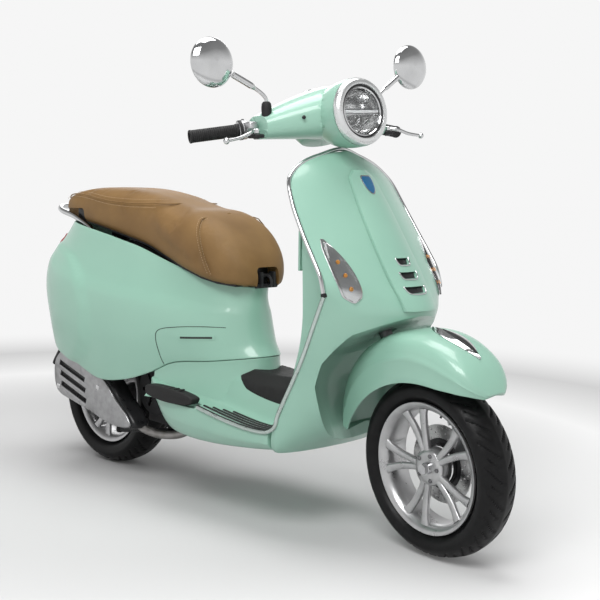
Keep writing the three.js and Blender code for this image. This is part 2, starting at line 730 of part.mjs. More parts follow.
// Fender: crown and edge radii about the axle, and half width, by angle from straight ahead.
const fenderCrown = smooth([
  [47, 292], [53, 304], [62, 320], [75, 333], [90, 341], [115, 344], [135, 335], [152, 316],
  [166, 288],
]);
const fenderEdge = smooth([
  [47, 277], [51, 269], [57, 256], [70, 236], [97, 222], [120, 222], [143, 232], [166, 252],
]);
const fenderWidth = smooth([
  [47, 34], [51, 58], [57, 77], [65, 88], [80, 95], [105, 96], [135, 94], [166, 84],
]);
function fenderRing(degrees, inset) {
  const a = degToRad(degrees);
  const crown = fenderCrown(degrees) - inset;
  const edge = fenderEdge(degrees);
  const w = fenderWidth(degrees) - inset;
  const half = [[0, 0], [0.4, 0.015], [0.68, 0.07], [0.87, 0.24], [0.97, 0.6], [1, 1]];
  const at = ([k, t], side) => {
    const r = mix(crown, edge, t);
    return v3(WHEELBASE + r * Math.cos(a), side * k * w, FRONT_TYRE.radius + r * Math.sin(a));
  };
  return [...half.slice(1).reverse().map((p) => at(p, -1)), ...half.map((p) => at(p, 1))];
}
function fender() {
  const stations = [47, 51, 57, 66, 80, 96, 112, 130, 150, 166];
  const rings = stations.map((d) => [...fenderRing(d, 0), ...fenderRing(d, 4).reverse()]);
  const columnHole = aboutSteering([[0, 480], [33, 480], [33, 640], [0, 640]], 16);
  return mainBody(cut(loft(rings), columnHole));
}
add(steering, "front_fender", fender(), PAINT);

// The bright crest on the fender's crown.
function fenderCrest() {
  const rings = [];
  for (const [d, w] of [[63, 3], [68, 15], [75, 26], [82, 28], [88, 16], [91, 4]]) {
    const a = degToRad(d);
    const ring = [];
    for (const lift of [9, 1.5]) {
      const row = [-1, 0, 1].map((u) => {
        const k = Math.abs((u * w) / fenderWidth(d));
        const drop = 0.015 * (k / 0.4) * (fenderCrown(d) - fenderEdge(d));
        const r = fenderCrown(d) - drop + (lift > 2 ? lift * (1 - 0.6 * u * u) : lift);
        return v3(WHEELBASE + r * Math.cos(a), u * w, FRONT_TYRE.radius + r * Math.sin(a));
      });
      ring.push(...(lift > 2 ? row : row.reverse()));
    }
    rings.push(ring);
  }
  return mainBody(cut(loft(rings), fender()));
}
add(steering, "fender_crest", fenderCrest(), CHROME);

// The handlebar, straight behind the lamp and bent back at each grip.
const barDirection = (side) => v3(
  GRIP_OUT.x - GRIP_IN.x, side * (GRIP_OUT.y - GRIP_IN.y), GRIP_OUT.z - GRIP_IN.z,
).normalize();
const barPoint = (side, distance) => v3(
  GRIP_IN.x, side * GRIP_IN.y, GRIP_IN.z,
).addScaledVector(barDirection(side), distance);
const GRIP_LENGTH = 128;
function handlebar(radius) {
  const ends = [-1, 1].map((side) => rod(barPoint(side, 0), barPoint(side, 150), radius, 12));
  return join(rod(barPoint(-1, 3), barPoint(1, 3), radius, 12), ...ends);
}

// Headset: a pod round the lamp with an arm to each side, and the neck that covers the column.
const LAMP_NORMAL = v3(Math.cos(LAMP.tilt), 0, Math.sin(LAMP.tilt));
const LAMP_CENTRE = v3(LAMP.x, 0, LAMP.z);
function aboutLamp(profile, sides) {
  const g = new THREE.LatheGeometry(profile.map(([r, h]) => new THREE.Vector2(r, h)), sides);
  g.applyQuaternion(new THREE.Quaternion().setFromUnitVectors(v3(0, 1, 0), LAMP_NORMAL));
  g.deleteAttribute("normal").deleteAttribute("uv");
  return facingOut(mergeVertices(g.translate(...LAMP_CENTRE.toArray()), 1e-3));
}
// A ring of the headset's neck: wide across the scooter, and level with the steering.
function neckRing(height, halfWidth) {
  const ring = [];
  const halfLength = 0.6 * halfWidth;
  for (let i = 0; i < 20; i++) {
    const a = (i / 20) * 2 * Math.PI;
    const p = onAxis(height, halfWidth * Math.sin(a));
    ring.push(v3(
      p.x + halfLength * Math.cos(RAKE) * Math.cos(a), p.y,
      p.z + halfLength * Math.sin(RAKE) * Math.cos(a),
    ));
  }
  return ring;
}
function headset() {
  const rings = [];
  for (const y of [-204, -170, -115, -60, 0, 60, 115, 170, 204]) {
    const t = Math.abs(y) / 204;
    const front = mix(1072, 952, t);
    const back = mix(850, 868, t);
    const top = mix(1180, 1106, t ** 1.3);
    const low = mix(1042, 1046, t);
    const ring = [];
    for (let i = 0; i < 14; i++) {
      const a = (i / 14) * 2 * Math.PI;
      const round = (q) => Math.sign(q) * Math.abs(q) ** 0.8;
      ring.push(
        v3(
          (front + back) / 2 + ((front - back) / 2) * round(Math.cos(a)), y,
          (top + low) / 2 + ((top - low) / 2) * round(Math.sin(a)),
        )
      );
    }
    rings.push(ring);
  }
  const pod = aboutLamp([[0, -120], [66, -120], [84, -70], [88, -30], [88, -6], [0, -6]], 24);
  const neck = loft([[1148, 78], [1170, 82], [1192, 90]].map(([h, r]) => neckRing(h, r)));
  const lampRoom = aboutLamp([[0, -52], [72, -52], [80, -5], [0, -5]], 24);
  const columnRoom = aboutSteering([[0, 900], [17.6, 900], [17.6, 1061], [0, 1061]], 16);
  const dash = place(
    new THREE.CylinderGeometry(46, 46, 60, 20).rotateX(Math.PI / 2).rotateY(-0.62), 852, 0, 1166,
  );
  const mirrorSockets = [-1, 1].map(
    (s) => rod(v3(931, s * 190, 1087), v3(931, s * 190, 1200), 12.6, 12)
  );
  return mainBody(
    cut(join(loft(rings), pod, neck), lampRoom, columnRoom, dash, handlebar(11.5), ...mirrorSockets)
  );
}
add(steering, "headset", headset(), PAINT);
add(
  steering, "instrument",
  mainBody(
    cut(
      place(
        new THREE.CylinderGeometry(45, 45, 12, 20).rotateX(Math.PI / 2).rotateY(-0.62), 866, 0,
        1147,
      ),
      headset(),
    )
  ),
  BLACK,
);
add(
  steering, "headlamp_ring",
  aboutLamp([[63, -5], [86, -5], [86, 6], [78, 12], [66, 14], [63, -5]], 24), CHROME,
);
add(
  steering, "headlamp", aboutLamp([[0, -50], [40, -48], [62, -20], [62, 6], [40, 16], [0, 20]], 24),
  LENS,
);

// Grips, levers and switch housings, one of each a side.
function housing(side) {
  const from = barPoint(side, 11);
  const to = barPoint(side, 34);
  const block = join(
    rod(from, to, 25, 14),
    box(878, 922, Math.min(side * 212, side * 234), Math.max(side * 212, side * 234), 1056, 1092),
  );
  return cut(
    block, rod(barPoint(side, -4), barPoint(side, 60), 11.6, 12), leverRoom(side),
    rod(v3(876.5, side * 222, 1085.5), v3(860, side * 222, 1102), 6.5, 12),
  );
}
const LEVER_PIN = (side) => v3(932, side * 226, 1068);
const leverRoom = (side) => box(
  908, 960, Math.min(side * 205, side * 250), Math.max(side * 205, side * 250), 1060, 1075,
);
function leverBracket(side) {
  return join(
    box(918, 944, Math.min(side * 208, side * 238), Math.max(side * 208, side * 238), 1050, 1059),
    box(878, 921, Math.min(side * 210, side * 236), Math.max(side * 210, side * 236), 1050, 1059),
  );
}
function brakeLever(side) {
  const pin = LEVER_PIN(side);
  const blade = bentTube(
    [
      [pin.x - 4, pin.y, pin.z - 1], [946, side * 250, 1064], [950, side * 290, 1050],
      [954, side * 330, 1044],
    ],
    5.2, 8, 6,
  );
  const ball = place(new THREE.SphereGeometry(9, 8, 6), 955, side * 334, 1044);
  return join(rod(v3(pin.x, pin.y, 1060.5), v3(pin.x, pin.y, 1073), 10, 12), blade, ball);
}
for (const [side, word] of [[-1, "right"], [1, "left"]]) {
  add(steering, "switch_housing_" + word, join(housing(side), leverBracket(side)), ALLOY);
  add(steering, "brake_lever_" + word, brakeLever(side), CHROME);
}
add(steering, "handlebar", handlebar(11), STEEL);
const gripSleeve = (side) => {
  const tube = rod(barPoint(side, 36), barPoint(side, 36 + GRIP_LENGTH), 16.5, 16);
  return cut(tube, rod(barPoint(side, 30), barPoint(side, 150.5), 11.5, 16));
};
add(steering, "throttle_grip", gripSleeve(-1), RUBBER);
add(steering, "left_grip", gripSleeve(1), RUBBER);
add(steering, "starter_button", rod(v3(874, -222, 1088), v3(866, -222, 1096), 6, 10), BLACK);
add(steering, "horn_button", rod(v3(874, 222, 1088), v3(866, 222, 1096), 6, 10), BLACK);

// Mirrors: a stem from the headset's arm, and a round head that faces back.
function mirrorStem(side) {
  const foot = rod(v3(931, side * 190, 1088), v3(931, side * 190, 1142), 12, 12);
  const stem = bentTube(
    [
      [931, side * 190, 1136], [930, side * 196, 1158], [926, side * 232, 1180],
      [918, side * 281, 1208],
    ],
    5.5, 9, 8,
  );
  return join(foot, stem);
}
function mirrorHead(side) {
  const profile = [[0, -9], [MIRROR.radius - 1, -9], [MIRROR.radius, -4], [50, 9], [28, 16], [0, 18]];
  const g = new THREE.LatheGeometry(profile.map(([r, h]) => new THREE.Vector2(r, h)), 24);
  g.deleteAttribute("normal").deleteAttribute("uv");
  g.applyQuaternion(new THREE.Quaternion().setFromUnitVectors(v3(0, 1, 0), v3(1, 0, 0.05).normalize()));
  return facingOut(mergeVertices(g.translate(MIRROR.x, side * MIRROR.y, MIRROR.z), 1e-3));
}
for (const [side, word] of [[-1, "right"], [1, "left"]]) {
  add(steering, "mirror_stem_" + word, mirrorStem(side), CHROME);
  add(steering, "mirror_head_" + word, mirrorHead(side), CHROME);
}

// ---- Front wheel and its suspension ----
// A tyre's outline: bead, sidewall, shoulder and a flat band on the tread. One of its facets faces
// straight down.
const TYRE_FACETS = 30;
function tyre(x, size) {
  const w = size.width / 2;
  const out = 1 / Math.cos(Math.PI / TYRE_FACETS);
  const half = [
    [RIM_RADIUS - 12, 35], [RIM_RADIUS + 2, 37], [RIM_RADIUS + 14, w - 4], [size.radius - 26, w],
    [size.radius - 6, w - 15], [size.radius, TREAD_FLAT],
  ];
  const loop = [
    ...half.map(([r, y]) => [r * out, -y]), ...half.map(([r, y]) => [r * out, y]).reverse(),
  ];
  const g = turned([...loop, loop[0]], 0, 0, TYRE_FACETS);
  return g.rotateY(Math.PI / TYRE_FACETS).translate(x, 0, size.radius);
}
function rim(x, z) {
  const barrel = turned(
    [
      [RIM_RADIUS, -46], [RIM_RADIUS, -38.5], [RIM_RADIUS - 13, -36.5], [RIM_RADIUS - 13, 36.5],
      [RIM_RADIUS, 38.5], [RIM_RADIUS, 46], [RIM_RADIUS - 22, 34], [RIM_RADIUS - 22, -34],
      [RIM_RADIUS, -46],
    ],
    x, z, 24,
  );
  const hub = turned([[0, -40], [26, -40], [46, -32], [46, 8], [0, 8]], x, z, 20);
  const parts = [barrel, hub];
  for (let i = 0; i < 10; i++) {
    const a = degToRad(36 * i + (i % 2 ? -7 : 7) + 18);
    const inner = v3(x + 34 * Math.cos(a), -22, z + 34 * Math.sin(a));
    const outer = v3(x + (RIM_RADIUS - 22) * Math.cos(a), -27, z + (RIM_RADIUS - 22) * Math.sin(a));
    parts.push(rod(inner, outer, 10, 4, 7));
  }
  return join(...parts);
}
add(steering, "front_tyre", tyre(WHEELBASE, FRONT_TYRE), RUBBER);
add(
  steering, "front_rim",
  cut(rim(WHEELBASE, FRONT_TYRE.radius), rod(v3(WHEELBASE, -60, 229), v3(WHEELBASE, 60, 229), 8.5, 16)),
  ALLOY,
);
add(
  steering, "brake_disc",
  turned(
    [[47, 8.5], [54, 8.5], [54, 16], [100, 16], [100, 20], [47, 20], [47, 8.5]], WHEELBASE,
    FRONT_TYRE.radius, 24,
  ),
  STEEL,
);
function frontArm() {
  const arm = plate(stadium(ARM_PIVOT.x, ARM_PIVOT.z, 22, WHEELBASE, FRONT_TYRE.radius, 24), 88, 106);
  const axle = rod(v3(WHEELBASE, -52, 229), v3(WHEELBASE, 90, 229), 8, 16);
  const nut = rod(v3(WHEELBASE, -54, 229), v3(WHEELBASE, -42, 229), 14, 6);
  const knuckle = rod(v3(WHEELBASE, 24, 229), v3(WHEELBASE, 90, 229), 17, 14);
  const lug = plate(stadium(WHEELBASE, 229, 16, 1300, 236, 14), 92, 108);
  const caliperStay = join(
    plate([[1388, 200], [1426, 196], [1438, 298], [1412, 300]], 90, 104),
    box(1412, 1436, 50.5, 104, 274, 298),
  );
  return join(arm, axle, nut, knuckle, lug, caliperStay);
}
add(steering, "front_arm", frontArm(), ALLOY);
function caliper() {
  const body = plate([[1388, 268], [1416, 262], [1444, 296], [1430, 318], [1404, 312]], 4, 50);
  const slot = turned(
    [[40, 12], [112, 12], [112, 24], [40, 24], [40, 12]], WHEELBASE, FRONT_TYRE.radius, 40,
  );
  return mainBody(cut(join(cut(body, slot), box(1406, 1428, 30, 49, 276, 296)), frontArm()));
}
add(steering, "brake_caliper", caliper(), BLACK);

// A damper between two mounts: an upper half with a spring sleeve, and a lower half that slides into
// it.
const DAMPER_BORE = 0.52;
function damperUpper(top, foot, y, radius) {
  const a = v3(top[0], y, top[1]);
  const b = v3(foot[0], y, foot[1]);
  const eye = rod(v3(a.x, y - 9, a.z), v3(a.x, y + 9, a.z), 11, 12);
  const sleeve = rod(a.clone().lerp(b, 0.12), a.clone().lerp(b, 0.57), radius, 14);
  const bore = rod(a.clone().lerp(b, 0.18), a.clone().lerp(b, 0.7), radius * DAMPER_BORE + 1, 12);
  return cut(join(eye, rod(a, a.clone().lerp(b, 0.15), radius * 0.4, 10), sleeve), bore);
}
function damperLower(top, foot, y, radius) {
  const a = v3(top[0], y, top[1]);
  const b = v3(foot[0], y, foot[1]);
  const eye = rod(v3(b.x, y - 9, b.z), v3(b.x, y + 9, b.z), 11, 12);
  return join(
    eye,
    rod(a.clone().lerp(b, 0.48), b, radius * DAMPER_BORE, 12),
    rod(a.clone().lerp(b, 0.83), a.clone().lerp(b, 0.87), radius, 14),
  );
}
const FRONT_TOP = [1262, 392];
const FRONT_FOOT = [1300, 236];
add(
  steering, "front_damper_upper",
  cut(damperUpper(FRONT_TOP, FRONT_FOOT, 118, 19), steeringColumn()), CHROME,
);
add(
  steering, "front_damper_lower", cut(damperLower(FRONT_TOP, FRONT_FOOT, 118, 19), frontArm()),
  STEEL,
);

// ---- Engine unit ----
const FAN = { x: 318, z: 288 };
function engine() {
  const crank = plate(stadium(330, 262, 84, 230, 252, 70), -60, 66);
  const cylinder = rod(v3(370, 0, 292), v3(455, 0, 300), 46, 16);
  const gearcase = plate(stadium(330, 260, 84, 0, 236, 78), 70, 140);
  const bridge = plate(stadium(300, 262, 74, 255, 258, 60), 60, 76);
  const fanHousing = rod(v3(FAN.x, -93, FAN.z), v3(FAN.x, -58, FAN.z), 76, 18);
  const pivotArm = plate(stadium(ENGINE_PIVOT.x, ENGINE_PIVOT.z, 20, 380, 256, 30), -30, 30);
  const standLugs = [-1, 1].map(
    (s) => plate(stadium(STAND_PIVOT.x, STAND_PIVOT.z, 15, 340, 196, 26), s * 46 - 8, s * 46 + 8)
  );
  const damperLugs = [-1, 1].map(
    (s) => plate(
      stadium(REAR_FOOT[0], REAR_FOOT[1], 14, -16, 262, 30), 122 + s * 15.6 - 2.4,
      122 + s * 15.6 + 2.4,
    )
  );
  const wheelRoom = rod(v3(0, -70, 236), v3(0, 69.6, 236), REAR_TYRE.radius + 12, 28);
  const fanRoom = rod(v3(FAN.x, -100, FAN.z), v3(FAN.x, -66, FAN.z), 68, 16);
  const standBore = rod(
    v3(STAND_PIVOT.x, -90, STAND_PIVOT.z), v3(STAND_PIVOT.x, 90, STAND_PIVOT.z), 8.6, 12,
  );
  const axleBore = rod(v3(0, 60, 236), v3(0, 120, 236), 9, 12);
  return mainBody(
    cut(
      join(crank, cylinder, gearcase, bridge, fanHousing, pivotArm, ...standLugs, ...damperLugs),
      wheelRoom, fanRoom, standBore, axleBore,
    )
  );
}
add(scooter, "engine_case", engine(), BLACK);
function fan() {
  const blades = [];
  for (let i = 0; i < 8; i++) {
    const a = (i / 8) * 2 * Math.PI;
    const at = (r) => v3(FAN.x + r * Math.cos(a), -80, FAN.z + r * Math.sin(a));
    blades.push(rod(at(18), at(62), 5, 4));
  }
  return join(rod(v3(FAN.x, -91, FAN.z), v3(FAN.x, -70, FAN.z), 22, 14), ...blades);
}
add(scooter, "cooling_fan", fan(), ALLOY);
// The fan's cover, with a ring of air slots.
function fanCover() {
  const disc = rod(v3(FAN.x, -97.5, FAN.z), v3(FAN.x, -93.5, FAN.z), 75, 24);
  const slots = [];
  for (let i = 0; i < 6; i++) {
    const a = (i / 6) * 2 * Math.PI;
    const at = (r) => v3(FAN.x + r * Math.cos(a), -95, FAN.z + r * Math.sin(a));
    slots.push(rod(at(26), at(58), 7, 6));
  }
  return cut(disc, ...slots);
}
add(scooter, "fan_cover", fanCover(), BLACK);

// The rear wheel turns on a stub axle that leaves the gear case.
add(scooter, "rear_tyre", tyre(0, REAR_TYRE), RUBBER);
add(
  scooter, "rear_rim", join(rim(0, REAR_TYRE.radius), rod(v3(0, 7, 236), v3(0, 68, 236), 60, 24)),
  ALLOY,
);

// Silencer, its heat shield and the pipe from the cylinder.
const SILENCER = { inner: -100, outer: -166 };
const SILENCER_SIDE = [
  [-127, 340], [-116, 246], [-20, 213], [79, 188], [160, 170], [250, 166], [304, 178], [286, 214],
  [231, 257], [182, 308], [120, 350], [40, 372], [-70, 384],
];
// A closed smooth outline through points in the XZ plane, drawn in towards its middle.
function smoothOutline(points, inset, count) {
  const curve = new THREE.CatmullRomCurve3(points.map(([x, z]) => v3(x, z, 0)), true, "centripetal");
  const round = curve.getPoints(count).slice(0, -1);
  const centre = round.reduce((sum, p) => sum.add(p), v3(0, 0, 0)).divideScalar(round.length);
  return round.map((p) => {
    const d = p.clone().sub(centre);
    d.setLength(d.length() - inset);
    return [centre.x + d.x, centre.y + d.y];
  });
}
function silencer() {
  const stations = [
    [SILENCER.inner, 16], [SILENCER.inner - 14, 2], [SILENCER.outer + 14, 0], [SILENCER.outer, 12],
  ];
  const rings = stations.map(
    ([y, inset]) => smoothOutline(SILENCER_SIDE, inset, 28).map(([x, z]) => v3(x, y, z))
  );
  const pipe = bentTube(
    [
      [262, -128, 188], [304, -118, 168], [360, -104, 160], [420, -80, 168], [446, -44, 192],
      [441, -16, 221],
    ],
    13, 18, 8,
  );
  return join(loft(rings), pipe);
}
add(scooter, "silencer", silencer(), STEEL);
function heatShield() {
  const outline = smoothOutline(SILENCER_SIDE, 14, 24);
  const slot = (x0, z0) => {
    const shape = new THREE.Path();
    const rise = -0.3;
    const long = 140;
    const tall = 17;
    shape.moveTo(x0, z0);
    shape.lineTo(x0 + long, z0 + long * rise);
    shape.lineTo(x0 + long, z0 + long * rise - tall);
    shape.lineTo(x0, z0 - tall);
    return shape;
  };
  return plate(
    outline, SILENCER.outer - 7, SILENCER.outer - 0.6,
    [slot(-84, 346), slot(-80, 312), slot(-76, 278)],
  );
}
add(scooter, "heat_shield", heatShield(), ALLOY);

// Rear damper, above the gear case on the left.
add(scooter, "rear_damper_upper", damperUpper(REAR_TOP, REAR_FOOT, 122, 24), CHROME);
add(scooter, "rear_damper_lower", damperLower(REAR_TOP, REAR_FOOT, 122, 24), STEEL);

// Centre stand, folded up under the engine.
function centreStand() {
  const legs = [-1, 1].map((s) =>
    bentTube(
      [
        [STAND_PIVOT.x, s * 70, STAND_PIVOT.z], [300, s * 74, 156], [220, s * 80, 150],
        [150, s * 98, 142],
      ],
      10, 7, 8,
    ),
  );
  const cross = rod(v3(STAND_PIVOT.x, -80, STAND_PIVOT.z), v3(STAND_PIVOT.x, 80, STAND_PIVOT.z), 8, 12);
  return join(...legs, cross);
}
add(scooter, "centre_stand", mainBody(centreStand()), BLACK);

export default scooter;
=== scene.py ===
"""Looks for a step-through moped scooter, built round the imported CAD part.

+X is forward, +Y the rider's left, +Z up. Sizes below are in millimetres; meshes are made in metres.
"""
import math

import bmesh
import bpy
from mathutils import Matrix, Vector


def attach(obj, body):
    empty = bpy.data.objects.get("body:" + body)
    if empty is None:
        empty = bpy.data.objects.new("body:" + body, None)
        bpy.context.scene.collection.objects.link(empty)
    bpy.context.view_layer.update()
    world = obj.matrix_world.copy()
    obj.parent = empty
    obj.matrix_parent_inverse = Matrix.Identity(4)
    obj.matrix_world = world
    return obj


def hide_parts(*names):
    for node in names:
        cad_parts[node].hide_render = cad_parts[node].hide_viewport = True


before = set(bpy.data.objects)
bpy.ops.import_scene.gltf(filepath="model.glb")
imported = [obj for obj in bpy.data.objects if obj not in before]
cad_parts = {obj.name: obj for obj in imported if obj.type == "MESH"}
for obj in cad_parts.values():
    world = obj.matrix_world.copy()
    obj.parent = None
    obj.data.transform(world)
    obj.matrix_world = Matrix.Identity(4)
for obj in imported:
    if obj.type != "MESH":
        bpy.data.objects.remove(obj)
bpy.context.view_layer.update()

# ---- Driving dimensions, as in the CAD ----
MM = 0.001
WHEELBASE = 1334
FRONT_TYRE = (229, 56)  # radius and half width
REAR_TYRE = (236, 61)
RIM_RADIUS = 166
RAKE = math.radians(25.5)
TRAIL = 80
REST_STEER = math.radians(-8)
STEER_LIFT = 1.1
LAMP = Vector((1078, 0, 1108))
LAMP_TILT = math.radians(7)
GRIP_IN = Vector((880, 206, 1074))
GRIP_OUT = Vector((833, 340, 1060))
GRIP_LENGTH = 128
MIRROR = Vector((916, 338, 1238))
MIRROR_RADIUS = 62
WALL = 5
SIDES = ((-1, "right"), (1, "left"))

AXIS_FOOT = Vector((WHEELBASE + TRAIL, 0, 0))
AXIS = Vector((-math.sin(RAKE), 0, math.cos(RAKE)))
LAMP_NORMAL = Vector((math.cos(LAMP_TILT), 0, math.sin(LAMP_TILT)))
STEER = (
    Matrix.Translation(AXIS_FOOT + Vector((0, 0, STEER_LIFT)))
    @ Matrix.Rotation(REST_STEER, 4, AXIS)
    @ Matrix.Translation(-AXIS_FOOT)
)


# ---- Helpers ----
def mix(a, b, t):
    return a + (b - a) * t


def clamp01(t):
    return min(1.0, max(0.0, t))


def ease(low, high, value):
    t = clamp01((value - low) / (high - low))
    return t * t * (3 - 2 * t)


def signed_power(value, power):
    return math.copysign(abs(value) ** power, value)


def smooth(*pairs):
    """A smooth function through (input, value) pairs, with the inputs rising."""
    xs = [p[0] for p in pairs]
    ys = [p[1] for p in pairs]
    last = len(pairs) - 1

    def slope(i):
        a, b = max(i - 1, 0), min(i + 1, last)
        return (ys[b] - ys[a]) / (xs[b] - xs[a])

    def value(x):
        if x <= xs[0]:
            return ys[0]
        if x >= xs[-1]:
            return ys[-1]
        i = 0
        while xs[i + 1] < x:
            i += 1
        w = xs[i + 1] - xs[i]
        t = (x - xs[i]) / w
        r = 1 - t
        return (
            ys[i] * (1 + 2 * t) * r * r + slope(i) * w * t * r * r
            + ys[i + 1] * t * t * (3 - 2 * t) - slope(i + 1) * w * t * t * r
        )

    return value


def spaced(low, high, count):
    return [mix(low, high, i / (count - 1)) for i in range(count)]


def around(count):
    return [2 * math.pi * i / count for i in range(count)]


def mirrored(points):
    return [(x, -y, z) for x, y, z in points]


def shade(mesh, sharp_degrees):
    """Smooth shading, with a hard edge wherever two faces meet at more than the given angle."""
    work = bmesh.new()
    work.from_mesh(mesh)
    limit = math.radians(sharp_degrees)
    for face in work.faces:
        face.smooth = True
    for edge in work.edges:
        edge.smooth = len(edge.link_faces) != 2 or edge.calc_face_angle(0) < limit
    work.to_mesh(mesh)
    work.free()


def put(name, surface, material, body, steered=False, sharp=40):
    """A piece from points in millimetres and their faces, painted and riding on a CAD body."""
    points, faces = surface
    mesh = bpy.data.meshes.new(name)
    matrix = STEER if steered else Matrix.Identity(4)
    mesh.from_pydata([(matrix @ Vector(p)) * MM for p in points], [], faces)
    work = bmesh.new()
    work.from_mesh(mesh)
    bmesh.ops.remove_doubles(work, verts=work.verts, dist=1e-6)
    bmesh.ops.recalc_face_normals(work, faces=work.faces)
    work.to_mesh(mesh)
    work.free()
    shade(mesh, sharp)
    piece = bpy.data.objects.new(name, mesh)
    bpy.context.scene.collection.objects.link(piece)
    mesh.materials.append(material)
    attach(piece, body)
    return piece


def lofted(rings, looped=False):
    """A surface through rings of equal length, with both ends closed unless it is looped."""
    n = len(rings[0])
    points = [Vector(p) for ring in rings for p in ring]
    faces = []
    for i in range(len(rings) if looped else len(rings) - 1):
        a, b = i * n, ((i + 1) % len(rings)) * n
        for j in range(n):
            k = (j + 1) % n
            faces.append((a + j, a + k, b + k, b + j))
    if not looped:
        for start in (0, (len(rings) - 1) * n):
            hub = len(points)
            points.append(sum((points[start + j] for j in range(n)), Vector()) / n)
            faces += [(start + j, start + (j + 1) % n, hub) for j in range(n)]
    return points, faces


def slab(grid, surface, top, low):
    """A plate that follows a surface, from rows of the surface's two coordinates and two lifts."""
    rise = top if callable(top) else (lambda a, b: top)
    rings = [
        [surface(a, b, rise(a, b)) for a, b in row] + [surface(a, b, low) for a, b in row][::-1]
        for row in grid
    ]
    return lofted(rings)


def modified(piece, kind, **settings):
    modifier = piece.modifiers.new(kind.title(), kind)
    for key, value in settings.items():
        setattr(modifier, key, value)
    return modifier


def applied(piece, sharp=40):
    """The piece with its modifiers made permanent."""
    graph = bpy.context.evaluated_depsgraph_get()
    mesh = bpy.data.meshes.new_from_object(piece.evaluated_get(graph))
    piece.modifiers.clear()
    piece.data = mesh
    shade(mesh, sharp)
    return piece


def combined(piece, *tools, operation="DIFFERENCE", sharp=40):
    for tool in tools:
        modified(piece, "BOOLEAN", operation=operation, solver="EXACT", object=tool)
    applied(piece, sharp)
    for tool in tools:
        bpy.data.objects.remove(tool)
    return piece


def softened(piece, width, angle=40, segments=3, sharp=50):
    """The piece with its edges rounded to a width in millimetres."""
    modified(
        piece, "BEVEL", width=width * MM, segments=segments, limit_method="ANGLE",
        angle_limit=math.radians(angle), use_clamp_overlap=True,
    )
    return applied(piece, sharp)


def stands_for(piece, slot, *nodes):
    """The piece stands for CAD nodes, which it hides. Its slot argument is not used."""
    if nodes:
        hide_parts(*nodes)
    return piece


def facing(direction):
    """A matrix whose Z axis is the direction."""
    return Vector(direction).to_track_quat("Z", "Y").to_matrix().to_4x4()


def turned(profile, centre, direction, sides, closed=False):
    """A surface turned about a direction, from (radius, height) pairs. A closed profile makes a ring."""
    place = Matrix.Translation(Vector(centre)) @ facing(direction)
    rings = [
        [place @ Vector((r * math.cos(a), r * math.sin(a), h)) for a in around(sides)]
        for r, h in profile
    ]
    return lofted(rings, looped=closed)


def rod(start, end, radius, sides=32, edge=0.6, end_radius=None):
    """A round bar with a small chamfer at each end."""
    start, end = Vector(start), Vector(end)
    last = radius if end_radius is None else end_radius
    length = (end - start).length
    edge = min(edge, radius * 0.4, length * 0.4)
    profile = [(radius - edge, 0), (radius, edge), (last, length - edge), (last - edge, length)]
    return turned(profile, start, end - start, sides)


def box(low, high):
    xs, ys, zs = zip(low, high)
    points = [(x, y, z) for x in xs for y in ys for z in zs]
    return points, [(0, 1, 3, 2), (4, 6, 7, 5), (0, 4, 5, 1), (2, 3, 7, 6), (0, 2, 6, 4), (1, 5, 7, 3)]


def sided_box(side, x0, x1, y0, y1, z0, z1):
    """A box on one side of the middle plane, with y counted outwards."""
    return box((x0, min(side * y0, side * y1), z0), (x1, max(side * y0, side * y1), z1))


def curve_through(points, count, closed=False):
    """Points on a Catmull-Rom curve through the given ones."""
    p = [Vector(q) for q in points]
    spans = len(p) if closed else len(p) - 1
    at = (lambda i: p[i % len(p)]) if closed else (lambda i: p[min(max(i, 0), len(p) - 1)])
    out = []
    for s in range(count):
        u = s * spans / (count if closed else count - 1)
        i = min(int(u), spans - 1)
        t = u - i
        a, b, c, d = at(i - 1), at(i), at(i + 1), at(i + 2)
        even = 2 * a - 5 * b + 4 * c - d
        odd = 3 * b - a - 3 * c + d
        out.append(0.5 * (2 * b + (c - a) * t + even * t * t + odd * t ** 3))
    return out


def swept(path, section, closed=False):
    """A surface along a path. section(share) gives (side, other) pairs for a share of its length."""
    rings = []
    side = None
    count = len(path)
    for i, p in enumerate(path):
        ahead = path[(i + 1) % count] if closed or i < count - 1 else p
        behind = path[i - 1] if closed or i > 0 else p
        along = (ahead - behind).normalized()
        if side is None:
            side = along.orthogonal()
        side = (side - along * side.dot(along)).normalized()
        other = along.cross(side)
        rings.append([p + side * a + other * b for a, b in section(i / (count - 1))])
    return lofted(rings, looped=closed)


def tube(points, radius, count=48, sides=16, closed=False):
    """A round bar along a smooth curve. radius may be a function of the share of the length."""
    size = radius if callable(radius) else (lambda t: radius)

    def section(t):
        return [(size(t) * math.cos(a), size(t) * math.sin(a)) for a in around(sides)]

    return swept(curve_through(points, count, closed), section, closed)


# ---- Materials ----
def shader(name):
    material = bpy.data.materials.new(name)
    material.use_nodes = True
    nodes = material.node_tree.nodes
    return material, nodes, material.node_tree.links, nodes["Principled BSDF"]


def noise_of(nodes, links, scale, detail=4.0):
    place = nodes.new("ShaderNodeTexCoord")
    noise = nodes.new("ShaderNodeTexNoise")
    noise.inputs["Scale"].default_value = scale
    noise.inputs["Detail"].default_value = detail
    links.new(place.outputs["Object"], noise.inputs["Vector"])
    return noise.outputs["Fac"]


def ranged(nodes, links, source, low, high):
    spread = nodes.new("ShaderNodeMapRange")
    spread.inputs["From Min"].default_value = 0.3
    spread.inputs["From Max"].default_value = 0.7
    spread.inputs["To Min"].default_value = low
    spread.inputs["To Max"].default_value = high
    links.new(source, spread.inputs["Value"])
    return spread.outputs["Result"]


def tinted(nodes, links, source, low, high):
    ramp = nodes.new("ShaderNodeValToRGB")
    for element, place, color in zip(ramp.color_ramp.elements, (0.3, 0.7), (low, high)):
        element.position = place
        element.color = (*color, 1)
    links.new(source, ramp.inputs["Fac"])
    return ramp.outputs["Color"]


